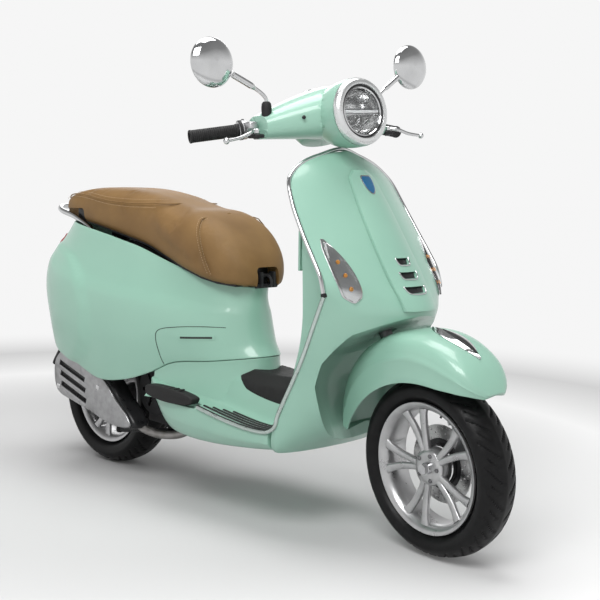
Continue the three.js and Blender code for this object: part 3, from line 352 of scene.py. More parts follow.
def bumped(nodes, links, height, out, strength, distance):
    bump = nodes.new("ShaderNodeBump")
    bump.inputs["Strength"].default_value = strength
    bump.inputs["Distance"].default_value = distance
    links.new(height, bump.inputs["Height"])
    links.new(bump.outputs["Normal"], out.inputs["Normal"])


def finish_of(
    name, low, high, metallic, rough, grain=40.0, bump=0.0, bump_scale=600.0, coat=0.0, shine=0.5,
):
    """A finish whose colour and roughness wander a little, with an optional fine bump and clear coat."""
    material, nodes, links, out = shader(name)
    wander = noise_of(nodes, links, grain)
    links.new(tinted(nodes, links, wander, low, high), out.inputs["Base Color"])
    links.new(ranged(nodes, links, wander, *rough), out.inputs["Roughness"])
    out.inputs["Metallic"].default_value = metallic
    out.inputs["Specular IOR Level"].default_value = shine
    out.inputs["Coat Weight"].default_value = coat
    out.inputs["Coat Roughness"].default_value = 0.04
    if bump:
        bumped(nodes, links, noise_of(nodes, links, bump_scale, 3.0), out, bump, 0.0004)
    return material


def paint_finish():
    """Gloss paint under a clear coat, with a faint wander in the colour."""
    return finish_of(
        "mint_paint", (0.235, 0.42, 0.333), (0.25, 0.44, 0.348), 0.0, (0.36, 0.42), 6.0, coat=0.5,
    )


def leather_finish():
    """Tan leather: a cell grain in the bump, soft dark and light patches, and a dull sheen."""
    material, nodes, links, out = shader("seat_leather")
    wander = noise_of(nodes, links, 9.0)
    links.new(
        tinted(nodes, links, wander, (0.16, 0.088, 0.03), (0.22, 0.128, 0.048)),
        out.inputs["Base Color"],
    )
    place = nodes.new("ShaderNodeTexCoord")
    cells = nodes.new("ShaderNodeTexVoronoi")
    cells.inputs["Scale"].default_value = 420.0
    links.new(place.outputs["Object"], cells.inputs["Vector"])
    out.inputs["Specular IOR Level"].default_value = 0.28
    links.new(ranged(nodes, links, wander, 0.52, 0.66), out.inputs["Roughness"])
    bumped(nodes, links, cells.outputs["Distance"], out, 0.3, 0.0005)
    return material


def clear_finish(name, color):
    material, nodes, links, out = shader(name)
    wander = noise_of(nodes, links, 30.0)
    links.new(tinted(nodes, links, wander, color, color), out.inputs["Base Color"])
    links.new(ranged(nodes, links, wander, 0.0, 0.02), out.inputs["Roughness"])
    out.inputs["Transmission Weight"].default_value = 1.0
    out.inputs["IOR"].default_value = 1.45
    return material


def reflector_finish():
    """Bright metal pressed into small facets."""
    material, nodes, links, out = shader("lamp_reflector")
    place = nodes.new("ShaderNodeTexCoord")
    cells = nodes.new("ShaderNodeTexVoronoi")
    cells.inputs["Scale"].default_value = 150.0
    links.new(place.outputs["Object"], cells.inputs["Vector"])
    links.new(
        tinted(nodes, links, cells.outputs["Distance"], (0.5, 0.5, 0.5), (0.8, 0.8, 0.8)),
        out.inputs["Base Color"],
    )
    out.inputs["Metallic"].default_value = 1.0
    out.inputs["Roughness"].default_value = 0.14
    bumped(nodes, links, cells.outputs["Distance"], out, 0.25, 0.0008)
    return material


PAINT = paint_finish()
CHROME = finish_of("chrome", (0.56, 0.565, 0.57), (0.64, 0.645, 0.65), 1.0, (0.06, 0.12), 25.0)
TRIM_SILVER = finish_of("trim_silver", (0.42, 0.49, 0.46), (0.5, 0.57, 0.54), 0.8, (0.25, 0.34), 30.0)
BEZEL = finish_of("lamp_bezel", (0.62, 0.63, 0.63), (0.7, 0.71, 0.71), 0.85, (0.24, 0.32), 30.0)
WHEEL_SILVER = finish_of(
    "wheel_silver", (0.4, 0.4, 0.405), (0.5, 0.5, 0.505), 0.85, (0.26, 0.36), 30.0, 0.06,
)
ALLOY = finish_of("cast_alloy", (0.45, 0.45, 0.46), (0.56, 0.56, 0.57), 0.95, (0.28, 0.42), 60.0, 0.1)
STEEL = finish_of("dark_steel", (0.13, 0.13, 0.135), (0.2, 0.2, 0.205), 0.9, (0.35, 0.5), 50.0, 0.1)
SHIELD_STEEL = finish_of(
    "heat_shield_steel", (0.3, 0.3, 0.305), (0.4, 0.4, 0.405), 0.95, (0.3, 0.4), 60.0, 0.08,
)
PIPE = finish_of("exhaust_pipe", (0.2, 0.19, 0.18), (0.34, 0.33, 0.32), 0.95, (0.35, 0.5), 40.0, 0.1)
DISC_STEEL = finish_of("disc_steel", (0.36, 0.36, 0.36), (0.46, 0.46, 0.46), 1.0, (0.24, 0.36), 90.0, 0.1)
BLACK = finish_of(
    "black_plastic", (0.012, 0.012, 0.013), (0.02, 0.02, 0.021), 0.0, (0.45, 0.6), 60.0, 0.25,
    shine=0.25,
)
SATIN_BLACK = finish_of(
    "satin_black", (0.01, 0.01, 0.011), (0.018, 0.018, 0.019), 0.0, (0.25, 0.35), 40.0, 0.05, shine=0.3,
)
CASE = finish_of(
    "engine_case_finish", (0.03, 0.03, 0.031), (0.055, 0.055, 0.057), 0.5, (0.45, 0.6), 70.0, 0.3,
    300.0,
)
RUBBER = finish_of(
    "rubber", (0.01, 0.01, 0.01), (0.018, 0.018, 0.018), 0.0, (0.55, 0.7), 70.0, 0.3, shine=0.25,
)
TYRE = finish_of(
    "tyre_rubber", (0.005, 0.005, 0.0053), (0.009, 0.009, 0.0094), 0.0, (0.36, 0.48), 50.0, 0.25,
    shine=0.16,
)
# Painted shade: the near-black of the panel seam and of the handle's recess, laid on the paint as dark
# strips.
SEAM_SHADE = finish_of("seam_shadow", (0.02, 0.03, 0.026), (0.03, 0.045, 0.038), 0.0, (0.7, 0.8), 50.0)
MIRROR_GLASS = finish_of("mirror_glass", (0.85, 0.87, 0.9), (0.9, 0.92, 0.94), 1.0, (0.01, 0.02), 5.0)
THREAD = finish_of("thread", (0.36, 0.25, 0.14), (0.46, 0.33, 0.2), 0.0, (0.6, 0.8), 300.0)
BADGE = finish_of("badge_enamel", (0.012, 0.11, 0.24), (0.02, 0.14, 0.3), 0.2, (0.15, 0.25), 20.0, coat=0.5)
AMBER = finish_of("amber_bulb", (0.7, 0.28, 0.04), (0.8, 0.34, 0.05), 0.0, (0.2, 0.3), 20.0)
LED_WHITE = finish_of("led_bar", (0.85, 0.86, 0.87), (0.92, 0.93, 0.94), 0.0, (0.1, 0.2), 20.0)
RED = finish_of("red_lens", (0.26, 0.005, 0.007), (0.34, 0.008, 0.01), 0.0, (0.1, 0.16), 30.0, coat=1.0)
CLEAR = clear_finish("clear_lens", (0.97, 0.98, 0.98))
REFLECTOR = reflector_finish()
LEATHER = leather_finish()

# The look of each CAD node that stays in view.
NODE_LOOKS = {
    PAINT: ["glove_door"],
    CHROME: ["front_damper_upper", "rear_damper_upper"],
    ALLOY: ["front_arm", "cooling_fan"],
    STEEL: [
        "steering_column", "handlebar", "brake_caliper", "front_damper_lower", "rear_damper_lower",
        "engine_mount", "ignition_key",
    ],
    CASE: ["engine_case"],
    BLACK: ["fan_cover", "seat_tub", "fuel_tank", "fuel_cap", "seat_base", "starter_button", "horn_button"],
    SATIN_BLACK: ["bag_hook"],
}
for material, node_names in NODE_LOOKS.items():
    for node_name in node_names:
        node_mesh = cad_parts[node_name].data
        node_mesh.materials.clear()
        node_mesh.materials.append(material)


# ---- Leg shield ----
SHIELD_BACK = 955
SHIELD_BOW = 1.9
shield_half_width = smooth(
    (228, 202), (240, 215), (262, 223), (300, 226), (600, 226), (700, 225), (790, 220), (880, 209),
    (930, 194),
    (968, 152), (992, 96), (1003, 50),
)
shield_edge_x = smooth(
    (228, 968), (283, 980), (332, 998), (403, 1037), (483, 1080), (586, 1125), (662, 1156), (705, 1139),
    (788, 1084),
    (870, 1032), (925, 1003), (968, 990), (1003, 992),
)
shield_front_x = smooth(
    (228, 1010), (280, 1085), (360, 1160), (480, 1215), (600, 1272), (640, 1256), (677, 1228), (790, 1156),
    (905, 1084), (960, 1045), (1003, 1012),
)
shield_back_depth = smooth(
    (228, 18), (300, 40), (400, 100), (500, 105), (600, 60), (700, 20), (850, 14), (1003, 12),
)
shield_corner = smooth((228, 0.55), (300, 0.62), (500, 1), (1003, 1))


def shield_point(y, z, lift=0):
    """A point on the front of the shield, moved forward by a lift."""
    bow = (1 - min(1, abs(y) / shield_half_width(z)) ** SHIELD_BOW) ** shield_corner(z)
    return Vector(
        (mix(shield_edge_x(z), shield_front_x(z), bow) + lift, y, z + 7 * clamp01((z - 900) / 80) * bow)
    )


def shield_ring(z, count):
    w = shield_half_width(z)
    shares = [math.sin(u * math.pi / 2) for u in spaced(-1, 1, count)]
    front = [shield_point(u * w, z) for u in shares]
    back = []
    for u, p in zip(shares, front):
        depth = min(10 + shield_back_depth(z) * (1 - abs(u) ** SHIELD_BOW), shield_edge_x(z) - SHIELD_BACK)
        back.append(Vector((shield_edge_x(z) - depth, p.y, p.z)))
    return front + back[::-1]


def about_steering(profile, sides):
    return turned(profile, AXIS_FOOT, AXIS, sides)


def steering_pocket():
    """The hollow in which the fender and front wheel turn."""
    profile = [(0.1, 40), (224, 40), (224, 515), (205, 560), (160, 600), (0.1, 604)]
    return put("pocket", about_steering(profile, 128), BLACK, "chassis")


def leg_shield():
    heights = spaced(228, 262, 10) + spaced(270, 900, 60) + spaced(908, 975, 14) + spaced(979, 1003, 10)
    piece = put("leg_shield_panel", lofted([shield_ring(z, 53) for z in heights]), PAINT, "chassis")
    bore = put(
        "bore", about_steering([(0.1, 560), (31, 560), (31, 1120), (0.1, 1120)], 48), BLACK, "chassis",
    )
    combined(piece, steering_pocket(), bore)
    softened(piece, 3, 38)
    stands_for(piece, "paint", "leg_shield")


# The cover on the middle of the shield, over the horn.
COVER_LOW = 612
COVER_HIGH = 956
COVER_SLOTS = ((662, 38), (697, 32), (731, 24))  # height and half width
cover_half_width = smooth((612, 60), (700, 66), (850, 60), (940, 46), (962, 36))


def cover_point(u, z, lift=0.0):
    """A point on the cover, from a share of its half width and a height."""
    y = u * cover_half_width(z) * (1 - ease(COVER_HIGH - 22, COVER_HIGH + 6, z) * 0.45)
    return shield_point(y, z, 16 * (1 - 0.4 * u * u) + lift)


def cover_slot_tool(z, half_width):
    rows = []
    for t in spaced(-1, 1, 7):
        reach = half_width / cover_half_width(z) * mix(0.78, 1.0, (t + 1) / 2)
        rows.append([(u, z + 8 * t) for u in spaced(-reach, reach, 9)])
    return put("slot_tool", slab(rows, cover_point, 20, -9), BLACK, "chassis")


def horn_cover():
    rings = []
    for z in spaced(COVER_LOW, COVER_HIGH, 60):
        top = [cover_point(u, z) for u in spaced(-1, 1, 31)]
        low = [cover_point(u, z, 1.2 - 16 * (1 - 0.4 * u * u)) for u in spaced(-1, 1, 31)]
        rings.append(top + low[::-1])
    piece = put("horn_cover_panel", lofted(rings), PAINT, "chassis")
    softened(piece, 4, 50, 4)
    combined(piece, *[cover_slot_tool(z, w) for z, w in COVER_SLOTS])
    stands_for(piece, "paint", "horn_cover")
    for number, (z, w) in enumerate(COVER_SLOTS, 1):
        reach = w / cover_half_width(z)
        rows = [[(u, h) for u in spaced(-reach * 1.02, reach * 1.02, 9)] for h in spaced(z - 9, z + 9, 5)]
        back = put("horn_slot_back_%d" % number, slab(rows, cover_point, -7, -9), SATIN_BLACK, "chassis")
        stands_for(back, "black_plastic")
        lip_path = [
            cover_point(u * reach, z + h, 0.6)
            for u, h in (
                (-1.04, 9), (-1.0, 2), (-0.84, -7), (-0.5, -9.5), (0, -10), (0.5, -9.5), (0.84, -7),
                (1.0, 2), (1.04, 9),
            )
        ]
        lip = put("horn_slot_lip_%d" % number, tube(lip_path, 1.9, 60, 12), CHROME, "chassis")
        stands_for(lip, "chrome")


def badge():
    """A plain enamel badge with a bright rim, wide above and pointed below."""
    middle = 922
    half = smooth((-20, 2), (-12, 12), (0, 17), (14, 18), (19, 15))

    def plate(grow, top, low, name, material, slot):
        rows = []
        for h in spaced(-20 - grow, 19 + grow, 24):
            w = (half(h * 19 / (19 + grow)) + grow) / cover_half_width(middle + h)
            rows.append([(u, middle + h) for u in spaced(-w, w, 9)])
        piece = put(name, slab(rows, cover_point, top, low), material, "chassis")
        stands_for(softened(piece, 0.6, 50, 2), slot)

    plate(2.5, 2.0, -0.5, "badge_rim", CHROME, "chrome")
    plate(0, 2.8, 1.0, "badge_enamel_plate", BADGE, "paint")


# ---- Trims along the shield and the floor ----
floor_edge_z = smooth((400, 356), (480, 336), (560, 324), (650, 311), (770, 291), (880, 279), (955, 281))
floor_tunnel_z = smooth((400, 366), (520, 378), (620, 396), (700, 396), (780, 390), (880, 392), (955, 404))
floor_bottom_z = smooth((400, 318), (450, 262), (500, 226), (560, 208), (700, 204), (850, 214), (955, 226))
floor_width = smooth((400, 176), (450, 196), (520, 218), (640, 226), (860, 226), (955, 225))


def upper_trim():
    side = [
        (shield_edge_x(z) - 5, shield_half_width(z) + 5.5, z)
        for z in (658, 700, 745, 788, 830, 870, 925, 955, 980, 998)
    ]
    path = mirrored(side) + [(shield_edge_x(1003) - 2, 0, 1016)] + side[::-1]
    piece = put("shield_edge_trim", tube(path, 5.4, 220, 20), CHROME, "chassis")
    stands_for(piece, "chrome", "shield_trim")


def lower_trim(side, word):
    """The band from the shield's joint down round its corner and back along the floor's edge."""
    path = [
        (shield_edge_x(z) - 4, side * (shield_half_width(z) + 2.5), z)
        for z in (650, 586, 530, 483, 440, 403, 365, 332)
    ]
    path += [(984, side * 228.5, 304), (966, side * 228.5, 289)]
    path += [
        (x, side * (floor_width(x) + 1.5), floor_edge_z(x) + 1)
        for x in (940, 900, 840, 770, 710, 676)
    ]
    piece = put("lower_trim_" + word, tube(path, 5.2, 160, 16), TRIM_SILVER, "chassis")
    stands_for(piece, "alloy")
    inward = [(x - 2.0, y - side * 2.2, z + 2.0) for x, y, z in path]
    gasket = put("lower_trim_gasket_" + word, tube(inward, 5.2, 160, 12), BLACK, "chassis")
    stands_for(gasket, "rubber")
    x, y, z = path[0]
    clip = put(
        "trim_clip_" + word, sided_box(side, x - 7, x + 6, abs(y) - 8, abs(y) + 6, z - 1, z + 9), BLACK,
        "chassis",
    )
    stands_for(softened(clip, 2.5), "black_plastic")


# ---- Inner shield, behind the leg shield ----
inner_back_x = smooth((420, 885), (520, 918), (600, 930), (930, 930))
inner_half_width = smooth((420, 150), (640, 165), (860, 165), (930, 132))
GLOVE_BOX = dict(y=90, low=692, high=802, depth=43)
KEY = Vector((920, -52, 895))


def inner_shield():
    rings = []
    for z in spaced(420, 930, 40):
        w = inner_half_width(z)
        front, back = [], []
        for u in [math.sin(s * math.pi / 2) for s in spaced(-1, 1, 31)]:
            bow = 1 - abs(u * w / shield_half_width(z)) ** SHIELD_BOW
            limit = shield_edge_x(z) - 10 - shield_back_depth(z) * bow
            front.append((limit - 5, u * w, z))
            back.append((min(inner_back_x(z) + 85 * u * u, limit - 12), u * w, z))
        rings.append(front + back[::-1])
    piece = put("inner_shield_panel", lofted(rings), PAINT, "chassis")
    g = GLOVE_BOX
    pocket = put(
        "glove_room",
        box((860, -g["y"], g["low"]), (inner_back_x(760) + g["depth"], g["y"], g["high"])), BLACK,
        "chassis",
    )
    lock = put("lock_room", rod((860, KEY.y, KEY.z), (955, KEY.y, KEY.z), 15), BLACK, "chassis")
    neck = put(
        "neck_room", about_steering([(0.1, 560), (46, 560), (46, 1120), (0.1, 1120)], 48), BLACK,
        "chassis",
    )
    combined(piece, pocket, lock, neck, steering_pocket())
    softened(piece, 3, 40, 2)
    stands_for(piece, "paint", "inner_shield")
    rim = turned(
        [(12.6, -2), (14.6, -2), (18, 0), (18, 2.5), (12.6, 2.5)],
        (inner_back_x(895) + 9, KEY.y, KEY.z), (-1, 0, 0), 48, True,
    )
    stands_for(put("lock_surround", rim, SATIN_BLACK, "chassis"), "black_plastic")
    handle = box((inner_back_x(760) - 13, -26, g["high"] - 22), (inner_back_x(760) - 8, 26, g["high"] - 12))
    stands_for(softened(put("glove_door_handle", handle, SATIN_BLACK, "glove_door"), 2), "black_plastic")


# ---- Rear shell ----
shell_low = smooth(
    (-250, 500), (-180, 482), (-131, 458), (-72, 396), (0, 370), (63, 350), (170, 319), (290, 331),
    (400, 366),
    (480, 402), (600, 416), (745, 436),
)
shell_high = smooth(
    (-250, 806), (-100, 798), (0, 787), (100, 771), (200, 752), (300, 730), (400, 698), (500, 666),
    (600, 640),
    (745, 624),
)
shell_front = smooth((0, 742), (0.2, 716), (0.5, 698), (0.8, 692), (1, 700))
shell_rear = smooth((0, -226), (0.25, -244), (0.5, -240), (0.75, -205), (1, -140))
shell_width = smooth((0, 200), (0.12, 208), (0.35, 216), (0.6, 208), (0.72, 186), (0.86, 164), (1, 148))
SHELL_WIDEST_X = 70
SHELL_REAR_POWER = 0.86


def cowl_swell(x, level):
    """How far the cowl's side swells out over the wheel, within a soft outline."""
    reach = (max(0, x + 60) / 200) ** 2 + ((level - 0.36) / 0.44) ** 2
    return 12 * (1 - ease(0.8, 1.0, reach))


def shell_point(level, angle, inset=0.0):
    c, s = math.cos(angle), math.sin(angle)
    reach = shell_front(level) - SHELL_WIDEST_X if c > 0 else SHELL_WIDEST_X - shell_rear(level)
    power = 1 if c > 0 else SHELL_REAR_POWER
    x = SHELL_WIDEST_X + (reach - inset) * signed_power(c, power)
    y = (shell_width(level) - inset + cowl_swell(x, level)) * signed_power(s, power)
    return Vector((x, y, mix(shell_low(x), shell_high(x), level)))


def on_shell(x, z, side, lift=0.0):
    """A point on the shell's side at a given x and z."""
    level = clamp01((z - shell_low(x)) / (shell_high(x) - shell_low(x)))
    front = x > SHELL_WIDEST_X
    reach = shell_front(level) - SHELL_WIDEST_X if front else SHELL_WIDEST_X - shell_rear(level)
    share = min(1.0, abs(x - SHELL_WIDEST_X) / reach)
    c = share if front else share ** (1 / SHELL_REAR_POWER)
    angle = math.acos(c if front else -c)
    return shell_point(level, side * angle, -lift)


def rear_shell():
    levels = spaced(0, 1, 48)
    turns = around(180)
    outer = [[shell_point(level, a) for a in turns] for level in levels]
    inner = [[shell_point(level, a, WALL) for a in turns] for level in levels][::-1]
    piece = put("rear_shell", lofted(outer + inner, looped=True), PAINT, "chassis")
    softened(piece, 2.4, 50, 2)
    stands_for(piece, "paint", "rear_body")


def side_panel(side, word):
    """The seam of the service panel low on the shell and the recess of the handle in it, both drawn as dark
    strips of painted shade, with the handle's dish raised a little.
    """
    corners = [(452, 393), (440, 420), (428, 470), (440, 496), (500, 508), (580, 514), (640, 514)]
    path = [on_shell(x, z, side, 0.2) for x, z in corners]
    # The seam is a dark tube of painted shade lying on the paint.
    seam = put("panel_seam_shade_" + word, tube(path, 1.1, 90, 8), SEAM_SHADE, "chassis")
    stands_for(seam, "black_plastic")
    rows = [[(x, z + 0.06 * (x - 560)) for x in spaced(505, 615, 15)] for z in spaced(474, 488, 5)]

    def place(x, z, lift):
        return on_shell(x, z, side, lift)

    dish = put("panel_handle_" + word, slab(rows, place, 1.2, -1.5), PAINT, "chassis")
    stands_for(softened(dish, 1.2, 40, 2), "paint")
    # The handle's recess is not cut out: a dark strip of painted shade stands in for it.
    rows = [[(x, z + 0.06 * (x - 560)) for x in spaced(512, 608, 15)] for z in spaced(478, 484, 3)]
    slot = put("panel_handle_recess_shade_" + word, slab(rows, place, 1.6, 0), SEAM_SHADE, "chassis")
    stands_for(slot, "black_plastic")


# ---- Floor ----
def floor_height(x, y):
    """The height of the floor's top at a place."""
    t = abs(y) / floor_width(x)
    edge, top = floor_edge_z(x), floor_tunnel_z(x)
    if t <= 0.25:
        return top
    if t <= 0.4:
        return mix(top, mix(edge, top, 0.7), (t - 0.25) / 0.15)
    if t <= 0.52:
        return mix(mix(edge, top, 0.7), edge + 3, (t - 0.4) / 0.12)
    return mix(edge + 3, edge, (t - 0.52) / 0.44)


def on_floor(x, y, lift):
    return Vector((x, y, floor_height(x, y) + lift))


def floor_ring(x):
    w, edge, top, low = floor_width(x), floor_edge_z(x), floor_tunnel_z(x), floor_bottom_z(x)
    under = curve_through(
        [(0.5, low, 0), (0.74, low + 1, 0), (0.91, low + 9, 0), (1, mix(low, edge, 0.45), 0)], 16,
    )
    side = curve_through(
        [(1, mix(low, edge, 0.45), 0), (1, edge - 9, 0), (0.985, edge - 2, 0), (0.96, edge, 0)], 10,
    )[1:]
    inner = curve_through(
        [
            (0.96, edge, 0), (0.7, edge + 1, 0), (0.54, edge + 4, 0), (0.4, mix(edge, top, 0.7), 0),
            (0.25, top, 0), (0.1, top + 1, 0),
        ], 22
    )[1:]
    half = under + side + inner
    return [(x, -p.x * w, p.y) for p in half] + [(x, p.x * w, p.y) for p in half[::-1]]


def hump():
    rings = []
    for t in spaced(0, 1, 24):
        ring = []
        for a in around(120):
            p = shell_point(0, a, 3 - 40 * t * t)
            ring.append((p.x, p.y, mix(p.z - 2, 300, t)))
        rings.append(ring)
    return lofted(rings)


FOOTREST = dict(x0=452, x1=662, inner=204, outer=238, z0=304, z1=346)


def floor():
    piece = put(
        "floor_panel", lofted([floor_ring(x) for x in spaced(410, SHIELD_BACK - 0.4, 60)]), PAINT,
        "chassis",
    )
    rise = put("hump", hump(), PAINT, "chassis")
    combined(rise, put("hump_back", box((-400, -300, 0), (412, 300, 900)), PAINT, "chassis"))
    combined(piece, rise, operation="UNION")
    rooms = [((380, -130, 100), (500, 160, 352)), ((480, -110, 150), (540, 110, 330))]
    tools = [put("room", box(*room), PAINT, "chassis") for room in rooms]
    f = FOOTREST
    for side, word in SIDES:
        notch = sided_box(side, f["x0"] - 3, f["x1"] + 3, 198, 260, 301, 400)
        tools.append(softened(put("notch_" + word, notch, PAINT, "chassis"), 6, 40, 4))
    combined(piece, *tools)
    softened(piece, 2, 45, 2)
    stands_for(piece, "paint", "floor")


def floor_strips(side, word):
    """Four rubber strips in bright channels along each side of the floor."""
    for number, (y, start) in enumerate(((158, 748), (172, 722), (186, 696), (200, 672)), 1):
        for half, lift, name, material, slot in (
            (4.6, 1.4, "channel", CHROME, "chrome"), (3.0, 3.2, "rubber", RUBBER, "rubber"),
        ):
            rows = [[(x, side * (y + h)) for h in spaced(-half, half, 5)] for x in spaced(start, 938, 30)]
            strip = put(
                "floor_strip_%s_%s_%d" % (name, word, number), slab(rows, on_floor, lift, -1), material,
                "chassis",
            )
            stands_for(softened(strip, 0.8, 50, 2), slot)


def floor_mat():
    """The rubber mat over the tunnel. It starts along the front of the rear shell."""
    half = smooth((0, 80), (0.06, 90), (0.2, 98), (1, 104))

    def start(y):
        reach = shell_front(0) - SHELL_WIDEST_X
        return SHELL_WIDEST_X + reach * math.sqrt(1 - (y / shell_width(0)) ** 2) + 6

    def row(t):
        return [(mix(start(u * half(0)), 935, t), u * half(t)) for u in spaced(-1, 1, 41)]

    piece = put(
        "tunnel_mat", slab([row(t) for t in spaced(0, 1, 50)], on_floor, lambda x, y: 6.5, 2), RUBBER,
        "chassis",
    )
    softened(piece, 2.4, 40, 3)
    stands_for(piece, "rubber", "floor_mat")


def footrest(side, word):
    f = FOOTREST
    outline = curve_through(
        [
            (f["x0"], f["z1"] - 14, 0), (f["x0"] + 14, f["z1"] - 1, 0), (f["x0"] + 80, f["z1"], 0),
            (f["x1"] - 60, f["z1"] - 4, 0),
            (f["x1"] - 8, f["z1"] - 13, 0), (f["x1"], f["z1"] - 24, 0), (f["x1"] - 24, f["z0"] + 4, 0),
            (f["x0"] + 90, f["z0"], 0),
            (f["x0"] + 12, f["z0"] + 10, 0),
        ],
        96, closed=True,
    )
    rings = [[(p.x, side * y, p.y) for p in outline] for y in (f["inner"], f["outer"])]
    piece = put("footrest_pad_" + word, lofted(rings), RUBBER, "footrest_" + word)
    stands_for(softened(piece, 6, 50, 4), "rubber", "footrest_" + word)
    for number, x in enumerate(spaced(f["x0"] + 40, f["x1"] - 60, 6), 1):
        rib = sided_box(side, x - 3, x + 3, f["inner"] + 8, f["outer"] - 6, f["z1"] - 10, f["z1"] + 1.2)
        rib = softened(
            put("footrest_rib_%s_%d" % (word, number), rib, RUBBER, "footrest_" + word), 1.5, 40, 2,
        )
        stands_for(rib, "rubber")


# ---- Small pieces on the body ----
def indicator(side, word):
    """A leaf-shaped lamp on the shield: bright surround, reflector with three bulbs, and clear lens."""
    inner_y = smooth((634, 166), (650, 151), (690, 148), (730, 156), (765, 172), (788, 187))
    outer_y = smooth((634, 172), (650, 193), (690, 202), (730, 202), (765, 200), (788, 193))

    def rows(border):
        out = []
        for z in spaced(634 + border, 788 - border, 40):
            trim = min(border, (outer_y(z) - inner_y(z)) / 2 - 0.5)
            out.append([(side * y, z) for y in spaced(inner_y(z) + trim, outer_y(z) - trim, 13)])
        return out

    def domed(height, border):
        def rise(y, z):
            middle = (inner_y(z) + outer_y(z)) / 2
            across = (abs(y) - middle) / max(1.0, (outer_y(z) - inner_y(z)) / 2 - border)
            return height + 3.5 * (1 - min(1, across * across))

        return rise

    surround = put("indicator_surround_" + word, slab(rows(0), shield_point, 2.4, -1), CHROME, "chassis")
    stands_for(softened(surround, 1.2, 50, 2), "chrome")
    back = put("indicator_reflector_" + word, slab(rows(4.5), shield_point, 3.2, 1), CHROME, "chassis")
    stands_for(back, "chrome")
    for number, z in enumerate((668, 700, 732), 1):
        y = (inner_y(z) + outer_y(z)) / 2
        bulb = turned(
            [(5, 0), (6, 1), (5, 3), (2.5, 4.4), (0.1, 4.8)], shield_point(side * y, z, 2.4),
            (1, 0, 0.3), 24,
        )
        stands_for(put("indicator_bulb_%s_%d" % (word, number), bulb, AMBER, "chassis"), "red_lens")
    lens = put("indicator_lens_" + word, slab(rows(3), shield_point, domed(5.5, 3), 4.4), CLEAR, "chassis")
    stands_for(lens, "clear_lens", "front_indicator_" + word)


def grab_rail():
    side = [(-10, 92, 768), (-50, 96, 790), (-100, 100, 812), (-180, 96, 830), (-232, 62, 841)]
    path = side + [(-250, 0, 843)] + mirrored(side)[::-1]
    stands_for(put("grab_rail_tube", tube(path, 9, 140, 24), CHROME, "chassis"), "chrome", "grab_rail")


def tail_lamp():
    rows = [[(level, math.pi + a) for a in spaced(-0.34, 0.34, 25)] for level in spaced(0.56, 0.84, 16)]

    def place(level, angle, lift):
        return shell_point(level, angle, -lift)

    lens = put("tail_lamp_lens", slab(rows, place, 20, 1), RED, "chassis")
    stands_for(softened(lens, 5, 40, 4), "red_lens", "tail_lamp")
    rows = [[(level, math.pi + a) for a in spaced(-0.37, 0.37, 25)] for level in spaced(0.545, 0.855, 16)]
    rim = put("tail_lamp_rim", slab(rows, place, 5, 0), CHROME, "chassis")
    stands_for(softened(rim, 1.5, 40, 2), "chrome")


def rear_mudguard():
    path = curve_through(
        [
            (-108, 528, 0), (-186, 474, 0), (-214, 428, 0), (-240, 382, 0), (-282, 314, 0),
            (-290, 298, 0),
        ],
        30,
    )
    half = smooth((298, 66), (314, 66), (382, 54), (428, 40), (474, 38), (528, 38))
    rings = []
    for p in path:
        w = half(p.y)
        outer = [(p.x - 4 - 3 * (1 - u * u), u * w, p.y) for u in spaced(-1, 1, 11)]
        inner = [(p.x + 4, u * w, p.y - 5) for u in spaced(1, -1, 11)]
        rings.append(outer + inner)
    piece = put("rear_mudguard_panel", lofted(rings), BLACK, "chassis")
    stands_for(softened(piece, 2.5, 50, 3), "black_plastic", "rear_mudguard")
    lamp = put("plate_lamp", box((-262, -18, 396), (-240, 18, 408)), BLACK, "chassis")
    stands_for(softened(lamp, 3), "black_plastic")
    for side, word in SIDES:
        stalk = rod((-228, side * 34, 430), (-238, side * 66, 432), 6, 20)
        stands_for(put("rear_indicator_stalk_" + word, stalk, BLACK, "chassis"), "black_plastic")
        shape = [(0.1, -13), (13, -11), (17, -2), (16, 6), (9, 12), (0.1, 14)]
        lamp = turned(shape, (-240, side * 80, 432), (-1, side * 0.25, 0), 40)
        stands_for(put("rear_indicator_" + word, lamp, CHROME, "chassis"), "chrome")
        lens = turned(
            [(0.1, 5), (15.2, 4), (16.4, 7.4), (9.5, 13.6), (0.1, 15.4)], (-240.5, side * 80, 432),
            (-1, side * 0.25, 0), 40,
        )
        stands_for(put("rear_indicator_lens_" + word, lens, AMBER, "chassis"), "red_lens")

# ---- Seat ----
seat_top = smooth(
    (-172, 862), (-140, 886), (-60, 902), (60, 908), (190, 904), (310, 887), (400, 864), (460, 850),
    (530, 840),
    (605, 806), (665, 756), (705, 704), (722, 668),
)
seat_width = smooth(
    (-172, 78), (-140, 108), (-60, 126), (100, 134), (300, 132), (400, 140), (520, 148), (620, 134),
    (680, 106),
    (712, 70), (722, 48),
)
SEAT_SECTION = (
    (0.86, 0), (0.97, 0.12), (1, 0.4), (0.95, 0.72), (0.8, 0.9), (0.5, 0.985), (0.2, 1), (0, 1.003),
)


def seat_low(x):
    return shell_high(x) + mix(7, 2.5, clamp01((x + 150) / 300))


def seat_side(x, count, grow=0.0):
    """Half of the seat's section at a station: (outward, up) points from its foot to its crown."""
    w, low, top = seat_width(x) + grow, seat_low(x), seat_top(x) + grow
    return [
        (p.x, p.y)
        for p in curve_through([(k * w, mix(low, top, t), 0) for k, t in SEAT_SECTION], count)
    ]


def seat_ring(x, count, grow=0.0):
    half = seat_side(x, count, grow)
    return [(x, -y, z) for y, z in half] + [(x, y, z) for y, z in half[:-1]][::-1]


def on_seat(x, share, side, grow=0.0):
    """A point on the seat's skin, at a share of the way up its section."""
    half = seat_side(x, 61, grow)
    low, top = half[0][1], half[-1][1]
    for (y0, z0), (y1, z1) in zip(half, half[1:]):
        if z1 >= mix(low, top, share):
            t = (mix(low, top, share) - z0) / max(1e-6, z1 - z0)
            return Vector((x, side * mix(y0, y1, t), mix(z0, z1, t)))
    return Vector((x, 0, top))


CLOTH_FRAMES = 20


